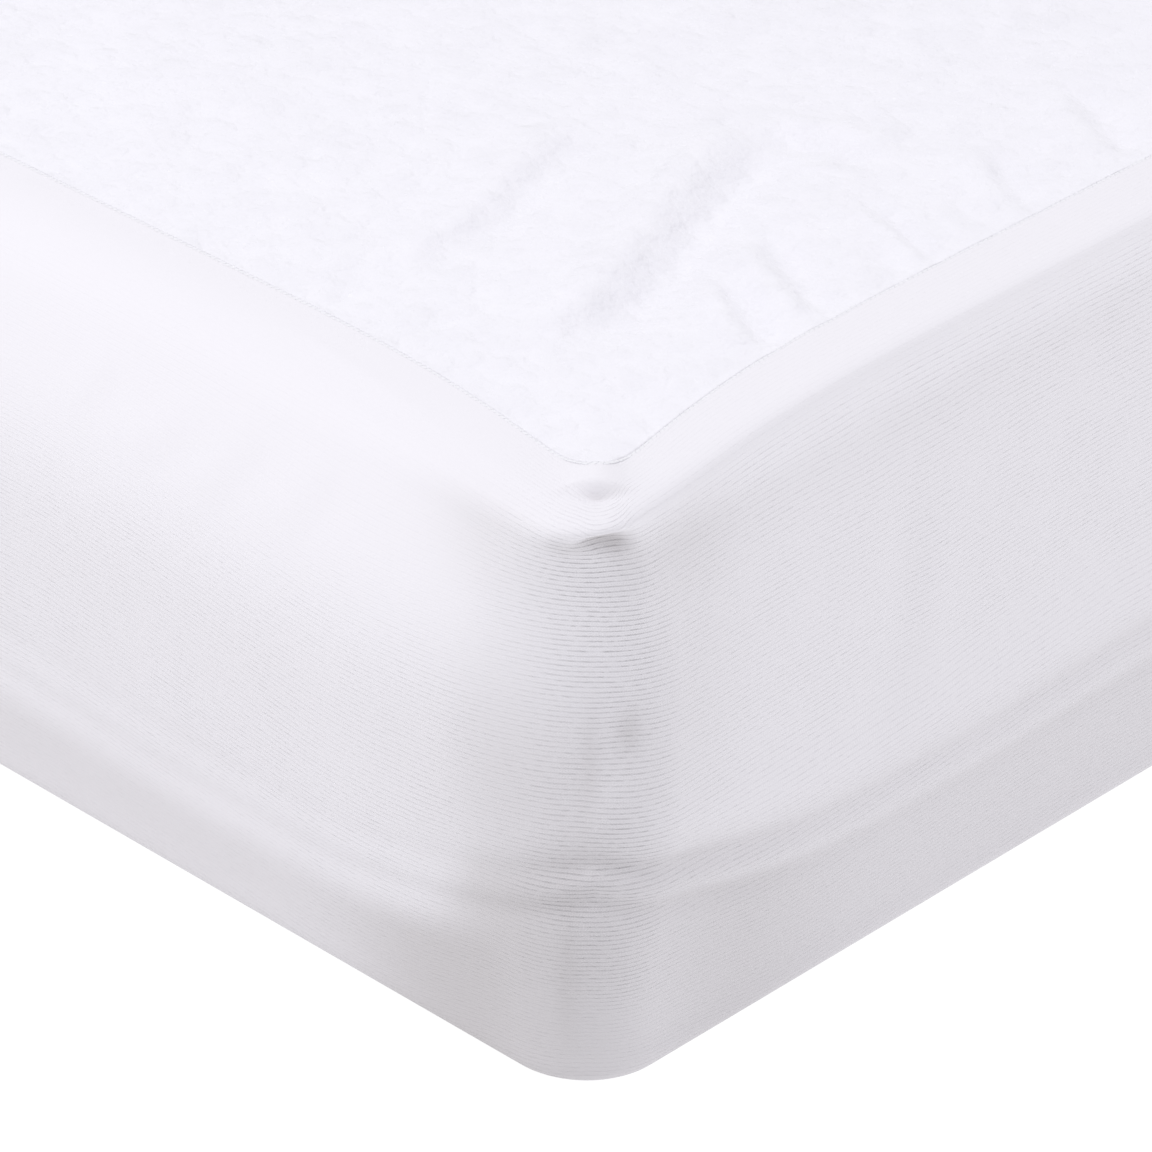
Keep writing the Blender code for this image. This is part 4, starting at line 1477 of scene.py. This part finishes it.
def course_lines(tree, uv):
    """Grooves broken up along the courses, and dotted grooves half way between them."""
    along, across = split_place(tree, uv)
    wander = noise_pattern(tree, uv, size=25.0, detail=2.0)
    across = calculate(tree, "MULTIPLY_ADD", wander, COURSE_WANDER * MM, across)
    stretched = tree.nodes.new("ShaderNodeMapping")
    stretched.inputs["Scale"].default_value = BREAK_STRETCH
    tree.links.new(uv, stretched.inputs["Vector"])
    breaks = noise_pattern(tree, stretched.outputs["Vector"], size=1.6, detail=1.0)
    breaks = calculate(tree, "MULTIPLY", breaks, BREAK_STRENGTH)
    groove = calculate(tree, "MULTIPLY", course_groove(tree, across, 0.0), breaks)
    dots = spread(tree, wave(tree, along, WALE), *DOT_RANGE)
    dotted = calculate(tree, "MULTIPLY", course_groove(tree, across, 0.5), dots)
    return calculate(tree, "MULTIPLY_ADD", dotted, HALF_GROOVE_SHARE, groove)


def knit_finish():
    material, tree, shader = new_finish("white knit", KNIT_WHITE, roughness=0.85, sheen=0.12,
                                        sheen_roughness=0.5)
    uv = tree.nodes.new("ShaderNodeUVMap")
    uv.uv_map = "cloth"
    place = object_place(tree)
    patches = noise_pattern(tree, place, size=30.0, detail=2.0)
    open_here = calculate(tree, "MULTIPLY", read_value(tree, "openness"), spread(tree, patches, *OPEN_RANGE))
    lines = calculate(tree, "MULTIPLY", course_lines(tree, uv.outputs["UV"]), open_here)
    shade = calculate(tree, "MULTIPLY", lines, LINE_SHADE)
    # The white is tinted towards the painted shade colour by the painted shade that the mesh stores.
    plain = tint(tree, KNIT_WHITE, KNIT_PAINTED_SHADE, read_value(tree, "painted_shade"))
    tree.links.new(tint(tree, plain, KNIT_SHADE, shade), shader.inputs["Base Color"])
    fuzz = noise_pattern(tree, place, size=1.1, detail=3.0)
    surface = calculate(tree, "MULTIPLY_ADD", lines, -1.0, calculate(tree, "MULTIPLY", fuzz, FUZZ_SHARE))
    tree.links.new(raise_surface(tree, surface, depth=0.27), shader.inputs["Normal"])
    return material


wear(skirt, knit_finish())

# %% [markdown]
# ### Towelling panel
#
# Towelling is covered in small loops of yarn that lean every way, so it has no lines. Cells about
# one and a half millimetres across make the loops, two noises make the pile lie unevenly in
# patches, and a soft sheen stands for the yarn ends that catch light from the side.

# %% Towelling finish
PILE_WHITE = (0.840, 0.828, 0.885)
PILE_SHADE = (0.710, 0.700, 0.755)
LOOP_SIZE = 1.6
LOOP_SMOOTHNESS = 0.6
PATCH_LEVEL = 0.38
PATCH_STRENGTH = 0.9


def towelling_finish():
    material, tree, shader = new_finish("white towelling", PILE_WHITE, roughness=0.95, sheen=0.30,
                                        sheen_roughness=0.6)
    place = object_place(tree)
    loops = tree.nodes.new("ShaderNodeTexVoronoi")
    loops.feature = "SMOOTH_F1"
    loops.inputs["Scale"].default_value = 1.0 / (LOOP_SIZE * MM)
    loops.inputs["Smoothness"].default_value = LOOP_SMOOTHNESS
    tree.links.new(place, loops.inputs["Vector"])
    loop_height = calculate(tree, "SUBTRACT", 1.0, loops.outputs["Distance"])
    clumps = noise_pattern(tree, place, size=10.0, detail=2.0)
    patches = noise_pattern(tree, place, size=28.0, detail=3.0, roughness=0.55)
    shade = calculate(tree, "MULTIPLY_ADD", calculate(tree, "ADD", clumps, patches), 0.5, -PATCH_LEVEL)
    shade = calculate(tree, "MULTIPLY", calculate(tree, "MAXIMUM", shade, 0.0), PATCH_STRENGTH)
    tree.links.new(tint(tree, PILE_WHITE, PILE_SHADE, shade), shader.inputs["Base Color"])
    pile = raise_surface(tree, loop_height, depth=0.15)
    tree.links.new(raise_surface(tree, clumps, depth=2.1, after=pile), shader.inputs["Normal"])
    return material


wear(panel, towelling_finish())

# %% [markdown]
# ### Thread and ticking
#
# The thread is smooth and a little brighter than the cloth, with the twist of its plies as a fine
# bump. The mattress has a plain cotton ticking, woven over and under, in a warmer white.

# %% Thread finish
THREAD_WHITE = (0.87, 0.865, 0.90)
THREAD_SHADE = (0.78, 0.775, 0.82)


def thread_finish():
    material, tree, shader = new_finish("white thread", THREAD_WHITE, roughness=0.55, sheen=0.10,
                                        sheen_roughness=0.4)
    plies = noise_pattern(tree, object_place(tree), size=0.6, detail=2.0)
    tree.links.new(tint(tree, THREAD_WHITE, THREAD_SHADE, plies), shader.inputs["Base Color"])
    tree.links.new(raise_surface(tree, plies, depth=0.08), shader.inputs["Normal"])
    return material


wear(stitches, thread_finish())

# %% Ticking finish
TICKING_WHITE = (0.80, 0.79, 0.76)
TICKING_SHADE = (0.68, 0.67, 0.64)
TICKING_YARN = 1.4


def ticking_finish():
    material, tree, shader = new_finish("cotton ticking", TICKING_WHITE, roughness=0.9, sheen=0.08,
                                        sheen_roughness=0.5)
    place = object_place(tree)
    warp, weft = (wave(tree, value, TICKING_YARN) for value in split_place(tree, place))
    weave = calculate(tree, "MAXIMUM", warp, weft)
    slubs = noise_pattern(tree, place, size=12.0, detail=3.0)
    shade = calculate(tree, "MULTIPLY", calculate(tree, "SUBTRACT", 1.0, weave), slubs)
    tree.links.new(tint(tree, TICKING_WHITE, TICKING_SHADE, shade), shader.inputs["Base Color"])
    tree.links.new(raise_surface(tree, weave, depth=0.3), shader.inputs["Normal"])
    return material


wear(mattress, ticking_finish())

# %% [markdown]
# ## Joining the frame
#
# Each piece now takes the place of its plain node and rides on the one body of the bed.

for piece in (skirt, panel, stitches, mattress):
    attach(piece, "root")
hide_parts("knit_skirt")
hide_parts("top_panel")
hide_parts("mattress")
print("pieces:", [piece.name for piece in (skirt, panel, stitches, mattress)])
